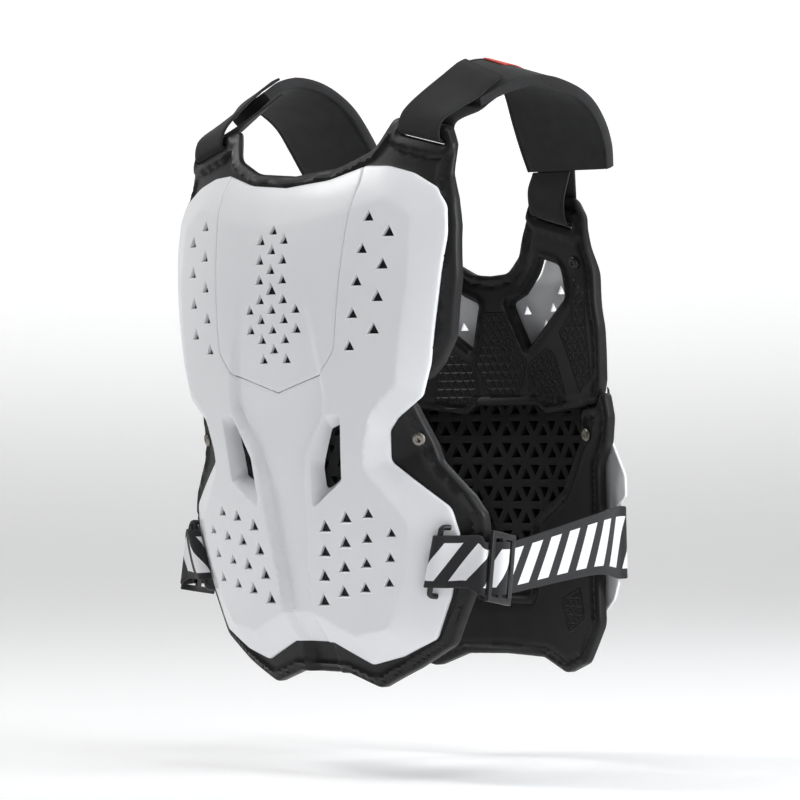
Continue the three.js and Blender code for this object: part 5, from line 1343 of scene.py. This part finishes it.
def strapLine(share):
    drop = (share - 0.5) * strap["width"]
    top = offFace(frontFace, *hookEnds[0], strap["standOff"], -1)
    bottom = offFace(frontFace, *hookEnds[1], strap["standOff"], -1)
    bar = top + (bottom - top) * share
    bar[2] = (top[2] + bottom[2]) / 2 - drop
    turnAt = np.array((wingTurn["x"] - drop * wingTurn["lean"], wingTurn["y"] - drop * wingTurn["lean"],
                       bar[2] - 3))
    backDrop = (share - 0.5) * strap["backWidth"]
    backZ = clipAt["z"] - backDrop
    edgeX = widthAt(backShellHalf, backZ)
    corner = offFace(shellFar, edgeX, backZ, 0, 1)
    middle = offFace(shellFar, widthAt(backShellHalf, clipAt["z"]), clipAt["z"], 0, 1)
    belly = np.array((middle[0] + strap["bellyOut"], middle[1] - strap["bellyLength"],
                      clipAt["z"] - (drop + backDrop) / 2))
    slide = np.array((sliderAt["x"], sliderAt["y"], sliderAt["z"]))
    onward = (belly - slide) * (1, 1, 0)
    glide = slide - (0, 0, drop) - onward / np.linalg.norm(onward) * drop * sliderAt["lean"]

    def flat(start, towards):
        ahead = (towards - start) * (1, 1, 0)
        ahead /= np.linalg.norm(ahead)
        out = np.array((ahead[1], -ahead[0], 0))
        return lambda run, off: start + ahead * run + out * off
    nearBar = flat(bar, turnAt)
    nearSlider = flat(glide, belly)
    thick = strap["thickness"]
    around = strap["rod"] / 2 + 1.0 + thick / 2
    slant = around * math.sqrt(0.5)
    layer = thick / 2 + 0.2
    weave = sliderAt["thick"] / 2 + thick / 2 + 0.6
    gap = sliderAt["width"] / 2 - sliderAt["bar"] / 2
    lie = thick / 2 + 0.5
    loop = strap["loop"]
    return [nearBar(loop, -layer), nearBar(loop * 0.5, -layer - 0.6), nearBar(0, -around),
            nearBar(-slant, -slant), nearBar(-around, 0), nearBar(-slant, slant),
            nearBar(0, around), nearBar(loop * 0.5, layer + 0.6), nearBar(loop, layer),
            nearSlider(-gap - 5, -weave), nearSlider(-gap + 3.4, -weave),
            nearSlider(-3.4, weave), nearSlider(3.4, weave),
            nearSlider(gap - 3.4, -weave), nearSlider(gap + 4, -weave),
            belly, np.array((corner[0] + 4.2, corner[1] - 6, backZ)),
            np.array((corner[0] + 3.6, corner[1] + 2.5, backZ)),
            offFace(shellFar, edgeX - 4, backZ, lie + 1, 1),
            offFace(shellFar, edgeX - 14, backZ, lie, 1), offFace(shellFar, edgeX - 26, backZ, lie, 1)]


def evaluatedMesh(made):
    bpy.context.view_layer.update()
    graph = bpy.context.evaluated_depsgraph_get()
    return bpy.data.meshes.new_from_object(made.evaluated_get(graph), depsgraph=graph)


def rodAlong(name, points, radius, material, mirror):
    curve = bpy.data.curves.new(name, "CURVE")
    curve.dimensions = "3D"
    spline = curve.splines.new("POLY")
    spline.points.add(len(points) - 1)
    for spot, point in zip(spline.points, points):
        spot.co = (point[0] * mirror * mm, point[1] * mm, point[2] * mm, 1)
    curve.bevel_depth = radius * mm
    curve.bevel_resolution = 4
    curve.use_fill_caps = True
    holder = bpy.data.objects.new(name, curve)
    scene.collection.objects.link(holder)
    made = bpy.data.objects.new(name, evaluatedMesh(holder))
    discard(holder)
    scene.collection.objects.link(made)
    finishMesh(made, material, 50)
    return made


def boxed(name, material, corners, faces, bevel, segments=3):
    made = newObject(name, np.array(corners) * mm, faces, material)
    outward(made)
    modifier = made.modifiers.new("edges", "BEVEL")
    modifier.width = bevel * mm
    modifier.segments = segments
    modifier.limit_method = "ANGLE"
    mesh = evaluatedMesh(made)
    made.modifiers.clear()
    made.data = mesh
    finishMesh(made, material, 45)
    return made


def extruded(outer, openings, depth):
    # straight body of a flat outline with rectangular openings, as corners and faces
    flat, triangles, _ = triangulated(outer, openings, 1000, [], [])
    count = len(flat)
    corners = [(p[0], p[1], -depth / 2) for p in flat] + [(p[0], p[1], depth / 2) for p in flat]
    faces = [tuple(t[::-1]) for t in triangles] + [tuple(t + count) for t in triangles]
    sides = {(t[k], t[(k + 1) % 3]) for t in triangles for k in range(3)}
    faces += [(a, b, b + count, a + count) for a, b in sides if (b, a) not in sides]
    return corners, faces


def buildStraps():
    lines = [strapLine(share) for share in (0, 1)]
    stations = list(zip(lines[0], lines[1]))
    path = splineThrough(stations, 1.0)
    top = offFace(frontFace, *hookEnds[0], strap["standOff"], -1)
    bottom = offFace(frontFace, *hookEnds[1], strap["standOff"], -1)
    upward = (top - bottom) / np.linalg.norm(top - bottom)
    ends = [top + upward * 6.5, bottom - upward * 6.5]
    feet = [offFace(frontFace, end[0], end[2], 2.4, -1) for end in ends]
    rodPoints = [feet[0]]
    for end, foot, towards in ((ends[0], feet[0], -upward), (ends[1], feet[1], upward)):
        lift, start = (end + foot) / 2, end + towards * 3
        arc = [(1 - t) ** 2 * lift + 2 * t * (1 - t) * end + t * t * start for t in np.linspace(0, 1, 7)]
        rodPoints += arc if towards is not upward else arc[::-1]
    rodPoints.append(feet[1])
    long, wide, barWidth, endBar = sliderAt["length"], sliderAt["width"], sliderAt["bar"], sliderAt["endBar"]
    box = lambda w, h, x=0: np.array([(x - w / 2, -h / 2), (x + w / 2, -h / 2), (x + w / 2, h / 2),
                                      (x - w / 2, h / 2)])
    gapWide = (wide - 3 * barWidth) / 2
    corners, faces = extruded(box(wide, long),
                              [box(gapWide, long - 2 * endBar, side * (gapWide + barWidth) / 2)
                                                for side in (-1, 1)], sliderAt["thick"])
    middle = np.array((sliderAt["x"], sliderAt["y"], sliderAt["z"]))
    ahead = (strapLine(0.5)[15] - middle) * (1, 1, 0)
    ahead /= np.linalg.norm(ahead)
    up = ahead * sliderAt["lean"] + np.array((0, 0, 1))
    up /= np.linalg.norm(up)
    out = np.cross(ahead, up)
    out /= np.linalg.norm(out)
    front2 = np.cross(up, out)
    sliderCorners = np.array([middle + front2 * c[0] + up * c[1] + out * c[2] for c in corners])
    half = strap["backWidth"] / 2 + 0.8
    total, underneath = half + clipAt["overhang"], strap["thickness"] + 1.4
    clipOutline = np.array([(-total, 0.4), (-half, 0.4), (-half, underneath), (half, underneath),
                            (half, 0.4), (total, 0.4),
                            (total, underneath + clipAt["thick"]), (-total, underneath + clipAt["thick"])])
    clipCorners, clipFaces = extruded(clipOutline, [], clipAt["width"])
    x = clipAt["x"] - clipAt["width"] / 2 - 3
    basis = surfaceBasis(shellFar, x, clipAt["z"], 1)
    spot = offFace(shellFar, x, clipAt["z"], 0.4, 1)
    normal = np.array(basis.col[2])
    side = np.cross((0, 0, 1), normal)
    side /= np.linalg.norm(side)
    upClip = np.cross(normal, side)
    placed = np.array([spot + upClip * c[0] + normal * c[1] + side * c[2] for c in clipCorners])
    for mirror, word in ((1, "right"), (-1, "left")):
        made = band("side_strap_band_" + word, elasticBars, path,
                    bandProfile(strap["thickness"], strap["width"], 0.15), mirror)
        settle(made, "elastic", "side_strap_" + word)
        hook = rodAlong("hook_rod_" + word, rodPoints, strap["rod"] / 2, plasticBlack, mirror)
        settle(hook, "black_plastic", "strap_hook_" + word)
        slider = boxed("slider_frame_" + word, plasticBlack, sliderCorners * (mirror, 1, 1), faces, 0.8)
        settle(slider, "black_plastic", "strap_slider_" + word)
        clip = boxed("clip_bar_" + word, clipGrey, placed * (mirror, 1, 1), clipFaces, 0.8)
        settle(clip, "clip_plastic", "strap_clip_" + word)


buildFrontShell()
print("front shell ready")
buildFrontLiners()
print("front liners ready")
buildBackPads()
buildBackNet()
buildBackShell()
print("back plate ready")
buildRivets()
buildShoulderPads()
buildWebbing()
buildStraps()
print("straps ready")


# stage and light
studio = {"floor": -0.56, "wall": 4.6, "white": (0.93, 0.93, 0.935), "glow": 0.62, "world": 0.05,
          "floorWhite": (0.78, 0.78, 0.785), "floorGlow": (0.4, 0.4, 0.4), "change": 0.7}


def buildStage():
    # the floor is dimmer than the wall, with a soft change between them
    material, maker, shader = newMaterial("studioPaper", studio["white"], 0.9,
                                          Emission_Strength=studio["glow"])
    height = maker.node("ShaderNodeSeparateXYZ", {},
                        {"Vector": maker.node("ShaderNodeTexCoord")["Object"]})["Z"]
    share = ((height - studio["floor"]) / studio["change"]).math("MULTIPLY", 1.0, clamp=True)
    share = share * share * (3 - share * 2)
    feed(maker, shader, "Base Color",
         mixColor(maker, share, (*studio["floorWhite"], 1), (*studio["white"], 1)))
    feed(maker, shader, "Emission Color", mixColor(maker, share, (*studio["floorGlow"], 1), (1, 1, 1, 1)))
    rows = [(-6.0, 0.0)] + [(studio["wall"] - 1.2 + 1.2 * math.sin(a), 1.2 - 1.2 * math.cos(a))
                            for a in np.linspace(0, math.pi / 2, 14)] + [(studio["wall"], 5.0)]
    points = []
    for run, rise in rows:
        for across in (-8, 8):
            spot = aside * across - behind * run
            points.append((spot.x, spot.y, studio["floor"] + rise))
    faces = [(2 * k, 2 * k + 1, 2 * k + 3, 2 * k + 2) for k in range(len(rows) - 1)]
    paper = newObject("studio_paper", points, faces, material, 80)


def addLight(name, azimuth, height, distance, size, power, color=(1, 1, 1)):
    data = bpy.data.lights.new(name, "AREA")
    data.energy, data.size, data.color = power, size, color
    angle = math.radians(azimuth)
    made = bpy.data.objects.new(name, data)
    made.location = (math.sin(angle) * distance, -math.cos(angle) * distance, height)
    aim = Vector((0, 0, -0.25)) - Vector(made.location)
    made.rotation_euler = aim.to_track_quat("-Z", "Y").to_euler()
    scene.collection.objects.link(made)


lights = {"keySoft": (-50, 2.2, 2.2, 0.8, 42, (1.0, 0.99, 0.97)),
          "sideSoft": (84, 2.2, 1.9, 0.8, 22, (0.94, 0.97, 1.0)),
          "edgeSoft": (110, 0.4, 2.2, 0.8, 32, (0.97, 0.98, 1.0)),
          "fillSoft": (62, 0.5, 2.6, 0.8, 4, (1, 1, 1)),
          "rimSoft": (170, 1.2, 2.2, 1.0, 14, (0.96, 0.98, 1.0)),
          "topSoft": (20, 2.6, 0.8, 1.0, 14, (1, 1, 1))}
buildStage()
for name, (azimuth, height, distance, size, power, color) in lights.items():
    addLight(name, azimuth, height, distance, size, power, color)
world = bpy.data.worlds.new("studioWorld")
world.use_nodes = True
world.node_tree.nodes["Background"].inputs["Color"].default_value = (0.93, 0.96, 1.0, 1)
world.node_tree.nodes["Background"].inputs["Strength"].default_value = studio["world"]
scene.world = world
scene.view_settings.view_transform = "Standard"
print("stage ready")
